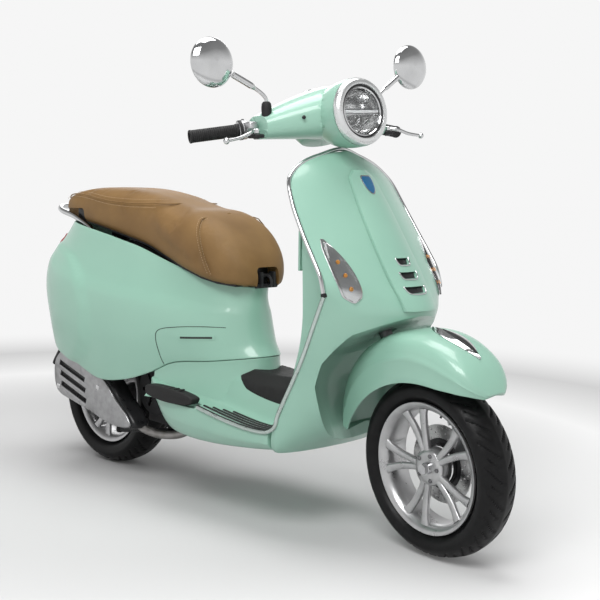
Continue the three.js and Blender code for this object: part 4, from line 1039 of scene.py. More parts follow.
def plumped(piece, voxel, swell):
    """The cushion filled out by a short cloth simulation, with how far it may move capped."""
    modified(piece, "REMESH", mode="VOXEL", voxel_size=voxel * MM, use_smooth_shade=True)
    applied(piece)
    start = [v.co.copy() for v in piece.data.vertices]
    cloth = modified(piece, "CLOTH")
    cloth.settings.use_pressure = True
    cloth.settings.uniform_pressure_force = 4
    cloth.settings.effector_weights.gravity = 0
    cloth.settings.tension_stiffness = 40
    scene = bpy.context.scene
    scene.frame_start, scene.frame_end = 1, CLOTH_FRAMES
    for number in range(1, CLOTH_FRAMES + 1):
        scene.frame_set(number)
        bpy.context.view_layer.update()
    applied(piece)
    for before, vertex in zip(start, piece.data.vertices):
        move = vertex.co - before
        if move.length > swell * MM:
            vertex.co = before + move.normalized() * (swell * MM)
    scene.frame_set(1)
    modified(piece, "SUBSURF", levels=1, render_levels=1)
    return applied(piece)


SEAT_INSET = 5.0  # how much smaller the cushion starts, so that the cloth can fill it out
SEAT_VOXEL = 6
SEAT_SWELL = 6


def seat():
    stations = spaced(-172, -130, 14) + spaced(-122, 660, 80) + spaced(666, 722, 16)
    grow = -SEAT_INSET
    piece = put("seat_cushion_soft", lofted([seat_ring(x, 28, grow) for x in stations]), LEATHER, "seat")
    plumped(piece, SEAT_VOXEL, SEAT_SWELL)
    nose = softened(put("nose_room", box((664, -42, 600), (756, 42, 688)), SATIN_BLACK, "seat"), 14, 40, 6)
    tools = [nose]
    for side, word in SIDES:
        room = put("rail_room_" + word, sided_box(side, -200, -20, 82, 150, 700, 840), SATIN_BLACK, "seat")
        tools.append(softened(room, 12, 40, 5))
    combined(piece, *tools)
    stands_for(piece, "seat_cover", "seat_cushion")
    seat_seams()
    liner = put("nose_liner", box((660, -40, 640), (676, 40, 687)), SATIN_BLACK, "seat")
    stands_for(softened(liner, 6, 40, 4), "black_plastic")
    for side, word in SIDES:
        pad = put("rail_liner_" + word, sided_box(side, -96, -24, 70, 92, 800, 844), SATIN_BLACK, "seat")
        stands_for(softened(pad, 8, 40, 4), "black_plastic")


def piping(name, points, radius, material=None, count=160):
    return stands_for(put(name, tube(points, radius, count, 10), material or LEATHER, "seat"), "seat_cover")


def stitches(name, path, spacing, length, radius):
    """A row of stitches: short threads along a path, made as one piece."""
    p = curve_through(path, 900)
    points, faces = [], []
    gone = 0.0
    target = spacing
    for a, b in zip(p, p[1:]):
        step = (b - a).length
        gone += step
        if step > 0 and gone >= target:
            target += spacing
            along = (b - a).normalized() * length / 2
            thread = rod(a - along, a + along, radius, 8, radius * 0.5)
            base = len(points)
            points += thread[0]
            faces += [tuple(base + i for i in face) for face in thread[1]]
    return stands_for(put(name, (points, faces), THREAD, "seat"), "seat_cover")


seat_seam_share = smooth(
    (-172, 0.9), (-100, 0.87), (0, 0.79), (110, 0.71), (210, 0.73), (300, 0.82), (370, 0.93), (402, 0.985),
)


def both_sides(place, stations):
    """A path up the right of the seat and back down its left."""
    right = [place(number, -1) for number in stations]
    left = [place(number, 1) for number in stations]
    return right + left[::-1]


def seat_seams():
    """The welt round the rear pad's top panel with its stitching, and the double seam over the nose."""

    def welt(lift, shift):
        def place(x, side):
            return on_seat(x, min(0.996, seat_seam_share(x) + shift), side, lift)

        return place

    stations = spaced(-150, 402, 34)
    piping("seat_welt", both_sides(welt(0.2, 0), stations), 1.9, count=300)
    for name, shift in (("above", 0.075), ("below", -0.075)):
        for side, word in SIDES:
            path = [welt(0.2, shift)(x, side) for x in stations[:-3]]
            stitches("seat_stitches_%s_%s" % (name, word), path, 7.5, 4.6, 0.55)

    def nose(shift):
        def place(share, side):
            return on_seat(548 + shift + 80 * (1 - share), share, side, 0.2)

        return place

    shares = spaced(0.15, 1, 16)
    piping("seat_nose_seam", both_sides(nose(0), shares), 1.6, count=200)
    for number, shift in enumerate((-6, 6), 1):
        stitches("seat_nose_stitches_%d" % number, both_sides(nose(shift), shares), 7.5, 4.6, 0.55)


# ---- Fender ----
fender_crown = smooth(
    (47, 292), (53, 304), (62, 320), (75, 333), (90, 341), (115, 344), (135, 335), (152, 316),
    (166, 288),
)
fender_edge = smooth(
    (47, 277), (51, 269), (57, 256), (70, 236), (97, 222), (120, 222), (143, 232), (166, 252),
)
fender_width = smooth((47, 34), (51, 58), (57, 77), (65, 88), (80, 95), (105, 96), (135, 94), (166, 84))
FENDER_SECTION = (
    (0, 0), (0.2, 0.004), (0.4, 0.015), (0.55, 0.035), (0.68, 0.07), (0.79, 0.14), (0.87, 0.24),
    (0.925, 0.37),
    (0.955, 0.46), (0.985, 0.5), (0.978, 0.56), (0.975, 0.7), (0.985, 0.86), (1, 1),
)


def on_wheel(degrees, radius, y):
    a = math.radians(degrees)
    return Vector((WHEELBASE + radius * math.cos(a), y, FRONT_TYRE[0] + radius * math.sin(a)))


def fender_ring(degrees, inset):
    crown, edge, w = fender_crown(degrees) - inset, fender_edge(degrees), fender_width(degrees) - inset
    right = [on_wheel(degrees, mix(crown, edge, t), -k * w) for k, t in FENDER_SECTION]
    left = [on_wheel(degrees, mix(crown, edge, t), k * w) for k, t in FENDER_SECTION[1:]]
    return right[::-1] + left


def fender():
    angles = spaced(47, 60, 14) + spaced(61.5, 166, 70)
    rings = [fender_ring(d, 0) + fender_ring(d, 4)[::-1] for d in angles]
    piece = put("front_fender_panel", lofted(rings), PAINT, "steering", True, 34)
    hole = put(
        "column_hole", about_steering([(0.1, 480), (33, 480), (33, 640), (0.1, 640)], 40), PAINT,
        "steering", True,
    )
    combined(piece, hole, sharp=34)
    softened(piece, 1.6, 60, 2)
    stands_for(piece, "paint", "front_fender")


def on_fender(u, degrees, lift=0.0):
    """A point on the fender's crown, from a distance to the side and an angle."""
    k = abs(u / fender_width(degrees))
    drop = 0.015 * (k / 0.4) * (fender_crown(degrees) - fender_edge(degrees))
    return on_wheel(degrees, fender_crown(degrees) - drop + lift, u)


def fender_crest():
    """A bright leaf on the fender's crown with a dark insert, raised along its middle."""
    half = smooth((63, 1.5), (66, 9), (70, 19), (75, 26), (80, 28), (85, 23), (89, 12), (91.5, 2))

    def leaf(low, high, share, height, base, name, material, slot):
        def rise(u, d):
            if abs(u) >= half(d) * share:
                return base
            return base + height * (1 - abs(u) / max(2.0, half(d) * share)) ** 0.8

        rows = [[(u * half(d) * share, d) for u in spaced(-1, 1, 17)] for d in spaced(low, high, 50)]
        piece = put(name, slab(rows, on_fender, rise, 0.4), material, "steering", True)
        return softened(piece, 1, 60, 2), slot

    stands_for(*leaf(63, 91.5, 1.0, 6.0, 2.2, "fender_crest_leaf", CHROME, "chrome"), "fender_crest")
    insert_half = smooth((64.5, 1), (69, 6), (75, 9.5), (81, 7), (86, 1))
    rows = [[(u * insert_half(d), d) for u in spaced(-1, 1, 9)] for d in spaced(64.5, 86, 30)]
    insert = put(
        "fender_crest_insert", slab(rows, on_fender, lambda u, d: 8.6 - 0.12 * abs(u), 2), SATIN_BLACK,
        "steering", True,
    )
    stands_for(insert, "black_plastic")


# ---- Headset ----
HEADSET_END = 204


def headset_ring(y, count):
    t = abs(y) / HEADSET_END
    front, back = mix(1072, 952, t), mix(850, 868, t)
    top, low = mix(1180, 1106, t ** 1.3), mix(1042, 1046, t)
    return [
        (
            (front + back) / 2 + (front - back) / 2 * signed_power(math.cos(a), 0.8), y,
            (top + low) / 2 + (top - low) / 2 * signed_power(math.sin(a), 0.8),
        )
        for a in around(count)
    ]


def about_lamp(profile, sides, closed=False):
    return turned(profile, LAMP, LAMP_NORMAL, sides, closed)


def bar_direction(side):
    return Vector(
        (GRIP_OUT.x - GRIP_IN.x, side * (GRIP_OUT.y - GRIP_IN.y), GRIP_OUT.z - GRIP_IN.z)
    ).normalized()


def bar_point(side, distance):
    return Vector((GRIP_IN.x, side * GRIP_IN.y, GRIP_IN.z)) + bar_direction(side) * distance


def on_axis(height):
    return AXIS_FOOT + AXIS * height


def headset():
    ends = [HEADSET_END - 3, HEADSET_END]
    ys = spaced(0, HEADSET_END - 4, 26)
    ys = [-y for y in ends[::-1]] + [-y for y in ys[::-1]] + ys[1:] + ends
    piece = put("headset_shell", lofted([headset_ring(y, 72) for y in ys]), PAINT, "steering", True)
    profile = [
        (0.1, -120), (58, -120), (68, -112), (77, -92), (83, -72), (87, -45), (88, -28), (88, -6),
        (0.1, -6),
    ]
    pod = put("pod", about_lamp(profile, 96), PAINT, "steering", True)
    forward = Vector((math.cos(RAKE), 0, math.sin(RAKE)))
    rings = []
    for h, r in ((1151, 64), (1152, 66), (1157, 70), (1170, 79), (1183, 87), (1194, 94)):
        middle = on_axis(h)
        ring = [
            middle + forward * (0.6 * r * math.cos(a)) + Vector((0, r * math.sin(a), 0))
            for a in around(72)
        ]
        rings.append(ring)
    neck = put("neck", lofted(rings), PAINT, "steering", True)
    combined(piece, pod, neck, operation="UNION")
    tools = [
        put(
            "lamp_room", about_lamp([(0.1, -52), (72, -52), (80, -5), (80, 20), (0.1, 20)], 72), PAINT,
            "steering", True,
        ),
        put(
            "column_room", about_steering([(0.1, 900), (17.6, 900), (17.6, 1061), (0.1, 1061)], 32),
            PAINT, "steering", True,
        ),
        put(
            "dash_room", turned([(0.1, -20), (46, -20), (46, 50), (0.1, 50)], INSTRUMENT, DIAL_UP, 64),
            PAINT, "steering", True,
        ),
    ]
    combined(piece, *tools)
    softened(piece, 2.5, 38, 3)
    stands_for(piece, "paint", "headset")
    for side, word in SIDES:
        screw = turned(
            [(0.1, -2), (5, -2), (5, 0.6), (3.6, 1.6), (0.1, 1.6)], (1006, side * 128, 1098),
            (0.92, side * 0.4, 0.05), 24,
        )
        stands_for(put("headset_screw_" + word, screw, SATIN_BLACK, "steering", True), "black_plastic")


INSTRUMENT = Vector((866, 0, 1147))
DIAL_UP = Vector((-math.sin(0.62), 0, math.cos(0.62)))


def instrument():
    rim = turned(
        [(36, -5), (44.5, -6), (45, 3), (42, 6), (38, 5.4), (36, 3)], INSTRUMENT, DIAL_UP, 96, True,
    )
    stands_for(put("instrument_rim", rim, CHROME, "steering", True), "chrome", "instrument")
    face = turned([(0.1, -3), (37, -3), (37, 1.5), (0.1, 1.5)], INSTRUMENT, DIAL_UP, 96)
    stands_for(put("instrument_face", face, SATIN_BLACK, "steering", True), "black_plastic")
    place = Matrix.Translation(INSTRUMENT) @ facing(DIAL_UP)
    points, faces = [], []
    for i in range(11):
        a = math.radians(-60 + 30 * i)
        mark = rod(
            place @ Vector((26 * math.cos(a), 26 * math.sin(a), 1.8)),
            place @ Vector((32 * math.cos(a), 32 * math.sin(a), 1.8)), 0.8, 8, 0.3,
        )
        base = len(points)
        points += mark[0]
        faces += [tuple(base + k for k in f) for f in mark[1]]
    stands_for(put("instrument_marks", (points, faces), LED_WHITE, "steering", True), "clear_lens")


def headlamp():
    """The bezel, the dark and bright rings inside it, the pressed reflector, the light bar and the lens."""
    bezel = about_lamp(
        [(68, -5), (86, -5.5), (87.5, -3), (87, 2), (84, 8), (79, 12), (74, 14), (70, 13.5), (68, 10)],
        128, True,
    )
    stands_for(put("headlamp_bezel", bezel, BEZEL, "steering", True), "alloy", "headlamp_ring")
    dark = about_lamp([(63.5, -4), (68, -4), (68, 9), (66, 10.5), (63.5, 9)], 128, True)
    stands_for(put("headlamp_dark_ring", dark, SATIN_BLACK, "steering", True), "black_plastic")
    bright = about_lamp([(58, -10), (63.4, -10), (63.4, 9), (61, 10.5), (58.6, 8)], 128, True)
    stands_for(put("headlamp_bright_ring", bright, CHROME, "steering", True), "chrome")
    bowl = about_lamp(
        [
            (0.1, -47), (22, -46), (42, -38), (54, -24), (59, -9), (61, -9), (56, -26), (43, -41),
            (22, -49), (0.1, -50),
        ],
        96,
    )
    stands_for(put("headlamp_reflector", bowl, REFLECTOR, "steering", True), "chrome", "headlamp")
    place = Matrix.Translation(LAMP) @ facing(LAMP_NORMAL)
    across = (place.to_3x3() @ Vector((1, 0, 0))).normalized()
    if abs(across.y) < 0.5:
        across = (place.to_3x3() @ Vector((0, 1, 0))).normalized()
    upward = LAMP_NORMAL.cross(across)

    def bar(name, half, tall, near, far, rise, material, slot):
        corners = []
        for n in (far, near):
            for u, v in ((-half, -tall), (half, -tall), (half, tall), (-half, tall)):
                corners.append(LAMP + LAMP_NORMAL * n + across * u + upward * (v + rise))
        piece = put(name, lofted([corners[:4], corners[4:]]), material, "steering", True)
        stands_for(softened(piece, 1.2, 40, 2), slot)

    bar("headlamp_light_bar", 57, 4.2, 3, -14, 0, LED_WHITE, "clear_lens")
    bar("headlamp_bar_upper", 57, 1.0, 4, -16, 7, CHROME, "chrome")
    bar("headlamp_bar_lower", 57, 1.0, 4, -16, -7, CHROME, "chrome")
    upright = math.copysign(1, upward.z)
    for number, r in enumerate((18, 30, 42), 1):
        arc = []
        for a in spaced(math.pi * 1.12, math.pi * 1.88, 24):
            depth = -44 + (r / 54) ** 2 * 22
            level = LAMP + LAMP_NORMAL * depth + across * (r * math.cos(a))
            arc.append(level + upward * (r * math.sin(a) * upright))
        stands_for(
            put("headlamp_fin_%d" % number, tube(arc, 1.6, 60, 10), CHROME, "steering", True), "chrome",
        )
    lens = about_lamp(
        [(0.1, 14), (30, 12.6), (48, 9.5), (58, 6), (58, 4.2), (48, 7.6), (30, 10.6), (0.1, 12)], 96,
    )
    stands_for(put("headlamp_lens", lens, CLEAR, "steering", True), "clear_lens")


# ---- Grips, levers, housings and mirrors ----
def grip(side, word):
    body = "throttle_grip" if side < 0 else "steering"
    profile = [(11.8, 0), (17.4, 0), (18.0, 2), (17.4, 5), (16.0, 6)]
    for i in range(22):
        h = 8 + i * 5.2
        profile += [(16.4, h), (16.4, h + 3.2), (15.5, h + 3.9), (15.5, h + 4.5)]
    profile += [(17.2, GRIP_LENGTH - 5), (17.2, GRIP_LENGTH - 1), (15.5, GRIP_LENGTH), (11.8, GRIP_LENGTH)]
    place = bar_point(side, 36)
    piece = put(
        "grip_" + word, turned(profile, place, bar_direction(side), 48, True), RUBBER, body, True, 30,
    )
    stands_for(piece, "rubber", "throttle_grip" if side < 0 else "left_grip")


def switch_housing(side, word):
    drum = put(
        "switch_housing_drum_" + word, rod(bar_point(side, 11), bar_point(side, 34), 25, 64, 2.5),
        ALLOY, "steering", True,
    )
    block = sided_box(side, 878, 921, 210, 236, 1050, 1092)
    perch = softened(put("perch", block, ALLOY, "steering", True), 6, 40, 4)
    combined(drum, perch, operation="UNION")
    shelf = put(
        "lever_bracket_" + word, sided_box(side, 908, 945, 208, 238, 1049, 1059.4), BLACK, "steering",
        True,
    )
    stands_for(softened(shelf, 4, 40, 4), "black_plastic")
    room = put("lever_room", sided_box(side, 908, 960, 205, 250, 1060, 1075), ALLOY, "steering", True)
    combined(
        drum, room,
        put(
            "bar_room", rod(bar_point(side, -4), bar_point(side, 60), 11.6, 32), ALLOY, "steering",
            True,
        ),
    )
    stands_for(drum, "alloy", "switch_housing_" + word)
    band = rod(bar_point(side, 24), bar_point(side, 33), 25.6, 64, 1)
    stands_for(put("switch_band_" + word, band, BLACK, "steering", True), "black_plastic")
    bolt = rod((932, side * 226, 1046), (932, side * 226, 1050), 7, 6, 1)
    stands_for(put("lever_bolt_" + word, bolt, STEEL, "steering", True), "steel")


def brake_lever(side, word):
    path = [
        (924, side * 228, 1067), (936, side * 240, 1066), (947, side * 256, 1062),
        (950, side * 290, 1051), (954, side * 330, 1044.5),
    ]

    def section(t):
        wide = mix(7.0, 4.4, t)
        return [(wide * math.cos(a), mix(5.2, 4.2, t) * math.sin(a)) for a in around(20)]

    body = "brake_lever_" + word
    blade = put("lever_blade_" + word, swept(curve_through(path, 60), section), CHROME, body, True)
    stands_for(blade, "chrome", body)
    ball = turned(
        [(0.1, -8.4), (4, -7.6), (7.4, -4), (8.6, 0), (7.4, 4), (4, 7.6), (0.1, 8.4)],
        (955, side * 334, 1044), (0, side, 0), 32,
    )
    stands_for(put("lever_ball_" + word, ball, CHROME, body, True, 80), "chrome")
    boss = rod((932, side * 226, 1060.6), (932, side * 226, 1072.8), 10, 40, 1.4)
    stands_for(put("lever_boss_" + word, boss, CHROME, body, True), "chrome")


def mirror(side, word):
    stem_body, head_body = "mirror_stem_" + word, "mirror_head_" + word
    path = [
        (931, side * 190, 1128), (930.5, side * 193, 1152), (927, side * 226, 1177),
        (918, side * 281, 1208),
    ]

    def radius(t):
        return mix(5.0, 8.4, ease(0.62, 0.72, t))

    stem = put("mirror_rod_" + word, tube(path, radius, 90, 20), CHROME, stem_body, True)
    stands_for(stem, "chrome", "mirror_stem_" + word)
    profile = [(0.1, -42), (12, -42), (13.4, -36), (13.4, -6), (12, 4), (8, 9), (0.1, 10)]
    boot = turned(profile, (931, side * 190, 1132), (0, 0, 1), 40)
    stands_for(put("mirror_boot_" + word, boot, RUBBER, stem_body, True), "rubber")
    normal = (1, 0, 0.05)
    r = MIRROR_RADIUS
    centre = (MIRROR.x, side * MIRROR.y, MIRROR.z)
    profile = [
        (r - 5, -7.5), (r - 1.5, -9), (r, -7), (r, -3.5), (r - 3, 1), (r - 11, 7.5), (r - 22, 12.5),
        (28, 15.5), (14, 17.4),
        (0.1, 18), (0.1, -3), (r - 5, -3),
    ]
    back = put("mirror_shell_" + word, turned(profile, centre, normal, 96), CHROME, head_body, True, 50)
    stands_for(back, "chrome", head_body)
    glass = put(
        "mirror_glass_" + word,
        turned([(0.1, -6.2), (r - 5.4, -6.2), (r - 5.4, -3.2), (0.1, -3.2)], centre, normal, 96),
        MIRROR_GLASS, head_body, True,
    )
    stands_for(glass, "chrome")


# ---- Wheels ----
def tyre_profile(radius, half_width):
    """(radius, y) points over the tyre, from one bead to the other."""
    half = curve_through(
        [
            (RIM_RADIUS - 12, 35, 0), (RIM_RADIUS + 3, 37.5, 0), (RIM_RADIUS + 14, half_width - 6, 0),
            (radius - 38, half_width - 0.5, 0), (radius - 26, half_width - 1, 0),
            (radius - 13, half_width - 12, 0),
            (radius - 4.5, half_width - 30, 0), (radius, 0, 0),
        ],
        34,
    )
    return [(p.x, -p.y) for p in half] + [(p.x, p.y) for p in half[:-1]][::-1]


def tread_depth(angle, y, half_width):
    """The depth of the grooves: long curved ones that sweep from near the middle to each shoulder."""
    count = 22
    out = abs(y) / half_width
    phase = angle * count / (2 * math.pi) + (0.5 if y > 0 else 0)
    total = 0.0
    for shift, start, end, thick in ((0, 0.12, 0.93, 0.085), (0.5, 0.34, 0.8, 0.07)):
        sweep = 0.95 * (out ** 1.4)
        gap = abs((phase + shift - sweep + 0.5) % 1 - 0.5)
        along = ease(start, start + 0.08, out) * (1 - ease(end - 0.08, end, out))
        total = max(total, along * (1 - ease(thick * 0.6, thick, gap)))
    return 3.2 * total


def tyre(name, centre_x, size, body, node, steered):
    radius, half_width = size
    profile = tyre_profile(radius, half_width)
    sides = 528
    points = []
    for i in range(sides):
        a = 2 * math.pi * i / sides
        for r, y in profile:
            cut = tread_depth(a, y, half_width) if r > radius - 22 else 0
            points.append((centre_x + (r - cut) * math.cos(a), y, radius + (r - cut) * math.sin(a)))
    n = len(profile)
    faces = []
    for i in range(sides):
        for j in range(n):
            a, b = i * n, ((i + 1) % sides) * n
            k = (j + 1) % n
            faces.append((a + j, a + k, b + k, b + j))
    piece = put(name, (points, faces), TYRE, body, steered, 32)
    stands_for(piece, "tyre", node)
    ring_at = RIM_RADIUS + 24
    for side, word in SIDES:
        ring = [(ring_at, -1), (ring_at + 2, 0.9), (ring_at + 4, 0.9), (ring_at + 6, -1)]
        y = side * (half_width - 3.0)
        bead = put(
            "%s_bead_%s" % (name, word), turned(ring, (centre_x, y, radius), (0, side, 0), 160, True),
            TYRE, body, steered,
        )
        stands_for(bead, "tyre")


def rim(name, centre_x, radius, body, node, steered, back):
    """A cast wheel with five pairs of spokes. back is where the hub ends on the left."""
    barrel = [
        (RIM_RADIUS, -46), (RIM_RADIUS + 1, -44), (RIM_RADIUS, -38.5), (RIM_RADIUS - 10, -36),
        (RIM_RADIUS - 16, -26), (RIM_RADIUS - 16, 26),
        (RIM_RADIUS - 10, 36), (RIM_RADIUS, 38.5), (RIM_RADIUS + 1, 44), (RIM_RADIUS, 46),
        (RIM_RADIUS - 9, 43), (RIM_RADIUS - 20, 32),
        (RIM_RADIUS - 21, -28), (RIM_RADIUS - 13, -40), (RIM_RADIUS - 6, -45),
    ]
    centre = (centre_x, 0, radius)
    piece = put(name, turned(barrel, centre, (0, 1, 0), 144, True), WHEEL_SILVER, body, steered)
    hub = [(0.1, -33), (20, -33), (30, -35), (43, -33), (47, -27), (47, back - 4), (43, back), (0.1, back)]
    parts = [put("hub", turned(hub, centre, (0, 1, 0), 96), WHEEL_SILVER, body, steered)]
    for i in range(5):
        middle = math.radians(36 + 72 * i)
        for lean in (-1, 1):
            parts.append(put("spoke", spoke(centre, middle, lean), WHEEL_SILVER, body, steered))
    combined(piece, *parts, operation="UNION")
    softened(piece, 1.6, 50, 2)
    stands_for(piece, "alloy", node)
    for i in range(5):
        a = math.radians(72 * i)
        x, z = centre_x + 33 * math.cos(a), radius + 33 * math.sin(a)
        bolt = rod((x, -32, z), (x, -38.5, z), 5.6, 6, 1)
        stands_for(put("%s_bolt_%d" % (name, i + 1), bolt, STEEL, body, steered), "steel")
    cap = turned(
        [(0.1, -44), (11, -44), (14, -42), (15.5, -36), (15.5, -30), (0.1, -30)], centre, (0, 1, 0), 48,
    )
    stands_for(put(name + "_cap", cap, CHROME, body, steered), "chrome")
    valve_at = math.radians(72)
    (root_x, root_z), (tip_x, tip_z) = (
        (centre_x + r * math.cos(valve_at), radius + r * math.sin(valve_at))
        for r in (RIM_RADIUS - 15, RIM_RADIUS - 26)
    )
    valve = rod((root_x, -24, root_z), (tip_x, -30, tip_z), 3, 16)
    stands_for(put(name + "_valve", valve, BLACK, body, steered), "black_plastic")


def spoke(centre, middle, lean):
    """One of a pair of spokes: it starts beside its twin at the hub, and curves away to the barrel."""
    rings = []
    for t in spaced(0, 1, 16):
        r = mix(34, RIM_RADIUS - 17, t)
        a = middle + lean * (
            math.radians(8.5)
            + math.radians(4.5) * t
            - math.radians(2.0) * math.sin(math.pi * t)
        )
        y = mix(-25, -31, t) + 3 * math.sin(math.pi * t)
        wide = mix(8.5, 10.5, t) + 2.5 * ease(0.8, 1, t)
        deep = mix(8, 7, t)
        along = Vector((math.cos(a), 0, math.sin(a)))
        across = Vector((-math.sin(a), 0, math.cos(a)))
        p = Vector(centre) + along * r
        ring = []
        for q in around(20):
            ring.append(
                p
                + across * (wide * signed_power(math.cos(q), 0.6))
                + Vector((0, y + deep * signed_power(math.sin(q), 0.7), 0))
            )
        rings.append(ring)
    return lofted(rings)


def brake_disc():
    centre = (WHEELBASE, 0, FRONT_TYRE[0])
    ring = turned([(62, 16), (100, 16), (100, 20), (62, 20)], centre, (0, 1, 0), 120, True)
    piece = put("brake_disc_plate", ring, DISC_STEEL, "front_wheel", True)
    points, faces = [], []
    for row, r in enumerate((70, 80, 90)):
        for i in range(15):
            a = 2 * math.pi * (i + row / 3) / 15
            x, z = WHEELBASE + r * math.cos(a), FRONT_TYRE[0] + r * math.sin(a)
            hole = rod((x, 10, z), (x, 26, z), 2.6, 12)
            base = len(points)
            points += hole[0]
            faces += [tuple(base + k for k in f) for f in hole[1]]
    combined(piece, put("disc_holes", (points, faces), DISC_STEEL, "front_wheel", True))
    stands_for(piece, "steel", "brake_disc")
    carrier = turned(
        [(47, 8.5), (54, 8.5), (54, 14), (66, 15), (66, 21), (47, 20)], centre, (0, 1, 0), 96, True,
    )
    stands_for(put("brake_disc_carrier", carrier, SATIN_BLACK, "front_wheel", True), "steel")


# ---- Engine side ----
SILENCER = (-100, -166)  # its inner and outer faces
SILENCER_SIDE = (
    (-127, 340), (-116, 246), (-20, 213), (79, 188), (160, 170), (250, 166), (304, 178), (286, 214),
    (231, 257),
    (182, 308), (120, 350), (40, 372), (-70, 384),
)


def silencer_outline(inset, count):
    p = curve_through([(x, z, 0) for x, z in SILENCER_SIDE], count, closed=True)
    middle = sum(p, Vector()) / count
    out = []
    for q in p:
        d = q - middle
        out.append(middle + d.normalized() * (d.length - inset))
    return [(q.x, q.y) for q in out]


def silencer():
    inner, outer = SILENCER
    stations = (
        (inner, 20), (inner - 3, 11), (inner - 9, 4), (inner - 18, 0.5), (outer + 18, 0),
        (outer + 9, 2.5), (outer + 3, 8), (outer, 16),
    )
    rings = [[(x, y, z) for x, z in silencer_outline(inset, 120)] for y, inset in stations]
    piece = put("silencer_can", lofted(rings), SATIN_BLACK, "engine", sharp=60)
    stands_for(piece, "steel", "silencer")
    path = [
        (262, -128, 188), (304, -118, 168), (360, -104, 160), (420, -80, 168), (446, -44, 192),
        (441, -16, 221),
    ]
    stands_for(put("exhaust_pipe_tube", tube(path, 13, 90, 24), PIPE, "engine"), "steel")


def heat_shield():
    outer = SILENCER[1]
    outline = silencer_outline(14, 96)
    rings = []
    for y, inset in ((outer - 0.6, 0), (outer - 4.5, 0), (outer - 7, 2.5)):
        middle_x = sum(x for x, z in outline) / len(outline)
        middle_z = sum(z for x, z in outline) / len(outline)
        ring = []
        for x, z in outline:
            d = Vector((x - middle_x, z - middle_z))
            d = d.normalized() * (d.length - inset)
            ring.append((middle_x + d.x, y, middle_z + d.y))
        rings.append(ring)
    piece = put("heat_shield_plate", lofted(rings), SHIELD_STEEL, "engine", sharp=50)
    tools = []
    for x0, z0 in ((-84, 338), (-80, 304), (-76, 270)):
        path = [(x0, outer - 3, z0), (x0 + 70, outer - 3, z0 - 21), (x0 + 140, outer - 3, z0 - 42)]

        def section(t):
            return [
                (9 * signed_power(math.cos(a), 0.6), 9 * signed_power(math.sin(a), 0.6))
                for a in around(20)
            ]

        tools.append(put("slot", swept(curve_through(path, 12), section), ALLOY, "engine"))
    combined(piece, *tools)
    softened(piece, 1, 50, 2)
    stands_for(piece, "alloy", "heat_shield")
    for number, (x, z) in enumerate(((128, 282), (-92, 258)), 1):
        screw = turned(
            [(0.1, -1), (9, -1), (9, 1.6), (6, 3.4), (0.1, 3.4)], (x, outer - 6.4, z), (0, -1, 0), 32,
        )
        stands_for(put("heat_shield_screw_%d" % number, screw, CHROME, "engine"), "chrome")


def centre_stand():
    for side, word in SIDES:
        path = [(352, side * 70, 163), (300, side * 74, 156), (220, side * 80, 150), (150, side * 98, 142)]
        leg = put("stand_leg_" + word, tube(path, 10, 60, 20), SATIN_BLACK, "centre_stand")
        stands_for(leg, "black_plastic", *(["centre_stand"] if side < 0 else []))
        foot = rod((150, side * 98, 142), (138, side * 104, 142), 12, 24, 2)
        stands_for(put("stand_foot_" + word, foot, RUBBER, "centre_stand"), "rubber")
    cross = rod((352, -80, 163), (352, 80, 163), 8, 24)
    stands_for(put("stand_cross_bar", cross, SATIN_BLACK, "centre_stand"), "black_plastic")


# ---- Stage, light and camera ----
def area_light(name, place, target, size, power):
    data = bpy.data.lights.new(name, "AREA")
    data.shape = "RECTANGLE"
    data.size, data.size_y = size
    data.energy = power
    lamp = bpy.data.objects.new(name, data)
    lamp.location = place
    lamp.rotation_mode = "QUATERNION"
    lamp.rotation_quaternion = (Vector(target) - Vector(place)).to_track_quat("-Z", "Y")
    bpy.context.scene.collection.objects.link(lamp)


def studio_world():
    """Near white around the horizon, and greyer overhead and below, for the bright pieces to reflect."""
    world = bpy.data.worlds.new("studio")
    world.use_nodes = True
    nodes, links = world.node_tree.nodes, world.node_tree.links
    place = nodes.new("ShaderNodeTexCoord")
    parts = nodes.new("ShaderNodeSeparateXYZ")
    links.new(place.outputs["Generated"], parts.inputs["Vector"])
    ramp = nodes.new("ShaderNodeValToRGB")
    stops = ((0.0, 0.6), (0.36, 0.95), (0.6, 0.95), (0.76, 0.34), (1.0, 0.24))
    elements = ramp.color_ramp.elements
    while len(elements) < len(stops):
        elements.new(0.5)
    for element, (position, value) in zip(elements, stops):
        element.position = position
        element.color = (value, value, value, 1)
    spread = nodes.new("ShaderNodeMapRange")
    spread.inputs["From Min"].default_value = -1
    spread.inputs["From Max"].default_value = 1
    links.new(parts.outputs["Z"], spread.inputs["Value"])
    links.new(spread.outputs["Result"], ramp.inputs["Fac"])
    links.new(ramp.outputs["Color"], nodes["Background"].inputs["Color"])
    nodes["Background"].inputs["Strength"].default_value = 0.97
    bpy.context.scene.world = world


GLOW_FROM, GLOW_FULL = 0.9, 3.4  # metres from the origin over which the floor starts to glow
FLOOR_REACH = 60  # metres


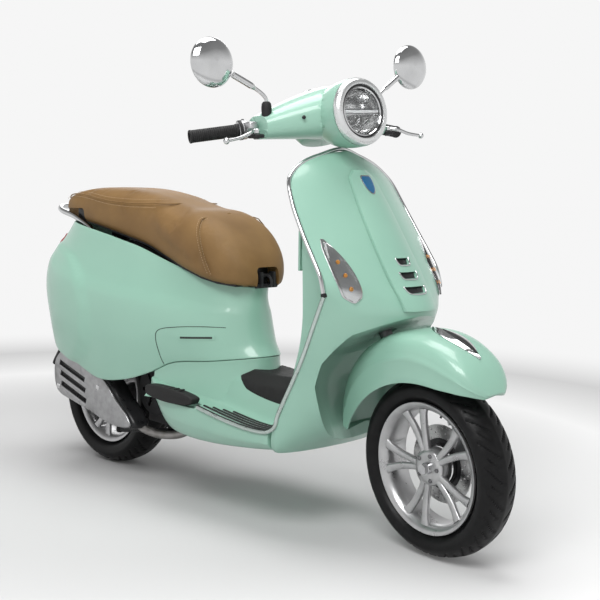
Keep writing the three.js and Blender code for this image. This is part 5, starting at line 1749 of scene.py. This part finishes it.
def stage():
    """A pale floor that sweeps far out, so that it meets the pale surroundings without a line."""
    material, nodes, links, out = shader("studio_floor")
    out.inputs["Roughness"].default_value = 0.8
    out.inputs["Specular IOR Level"].default_value = 0.0
    out.inputs["Emission Color"].default_value = (0.92, 0.92, 0.92, 1)
    place = nodes.new("ShaderNodeTexCoord")
    distance = nodes.new("ShaderNodeVectorMath")
    distance.operation = "LENGTH"
    links.new(place.outputs["Object"], distance.inputs[0])
    far = nodes.new("ShaderNodeMapRange")
    far.interpolation_type = "SMOOTHSTEP"
    far.inputs["From Min"].default_value = GLOW_FROM
    far.inputs["From Max"].default_value = GLOW_FULL
    links.new(distance.outputs["Value"], far.inputs["Value"])
    links.new(far.outputs["Result"], out.inputs["Emission Strength"])
    fade = tinted(nodes, links, far.outputs["Result"], (0.56, 0.56, 0.56), (0.0, 0.0, 0.0))
    links.new(fade, out.inputs["Base Color"])
    mesh = bpy.data.meshes.new("studio_floor")
    corners = [(sx * FLOOR_REACH, sy * FLOOR_REACH, 0) for sx, sy in ((-1, -1), (1, -1), (1, 1), (-1, 1))]
    mesh.from_pydata(corners, [], [(0, 1, 2, 3)])
    mesh.materials.append(material)
    piece = bpy.data.objects.new("studio_floor", mesh)
    bpy.context.scene.collection.objects.link(piece)
    studio_world()
    area_light("key", (2.4, -2.4, 3.4), (0.6, 0, 0.5), (2.4, 1.6), 120)
    area_light("top", (0.4, 0.2, 4.2), (0.5, 0, 0.4), (3.0, 2.4), 125)
    area_light("rim", (-2.6, 2.4, 2.4), (0.4, 0, 0.6), (1.8, 1.8), 24)
    bpy.context.scene.view_settings.view_transform = "Standard"


def camera():
    azimuth, elevation, roll = math.radians(44.5), math.radians(5.72), math.radians(-0.74)
    data = bpy.data.cameras.new("camera")
    data.sensor_width = 36
    data.lens = 65.65
    data.clip_end = 200
    seen = bpy.data.objects.new("camera", data)
    flat = math.cos(elevation)
    back = Vector((math.sin(azimuth) * flat, -math.cos(azimuth) * flat, math.sin(elevation)))
    seen.rotation_mode = "QUATERNION"
    seen.rotation_quaternion = (-back).to_track_quat("-Z", "Y") @ Matrix.Rotation(
        -roll, 4, "Z",
    ).to_quaternion()
    seen.location = Vector((2957, -2150, 906)) * MM
    bpy.context.scene.collection.objects.link(seen)
    bpy.context.scene.camera = seen


camera()
stage()
leg_shield()
horn_cover()
badge()
upper_trim()
inner_shield()
rear_shell()
floor()
floor_mat()
grab_rail()
tail_lamp()
rear_mudguard()
seat()
fender()
fender_crest()
headset()
instrument()
headlamp()
for side, word in SIDES:
    lower_trim(side, word)
    side_panel(side, word)
    floor_strips(side, word)
    footrest(side, word)
    indicator(side, word)
    grip(side, word)
    switch_housing(side, word)
    brake_lever(side, word)
    mirror(side, word)
tyre("front_tyre_treaded", WHEELBASE, FRONT_TYRE, "front_wheel", "front_tyre", True)
tyre("rear_tyre_treaded", 0, REAR_TYRE, "rear_wheel", "rear_tyre", False)
rim("front_rim_cast", WHEELBASE, FRONT_TYRE[0], "front_wheel", "front_rim", True, 8)
rim("rear_rim_cast", 0, REAR_TYRE[0], "rear_wheel", "rear_rim", False, 60)
brake_disc()
silencer()
heat_shield()
centre_stand()
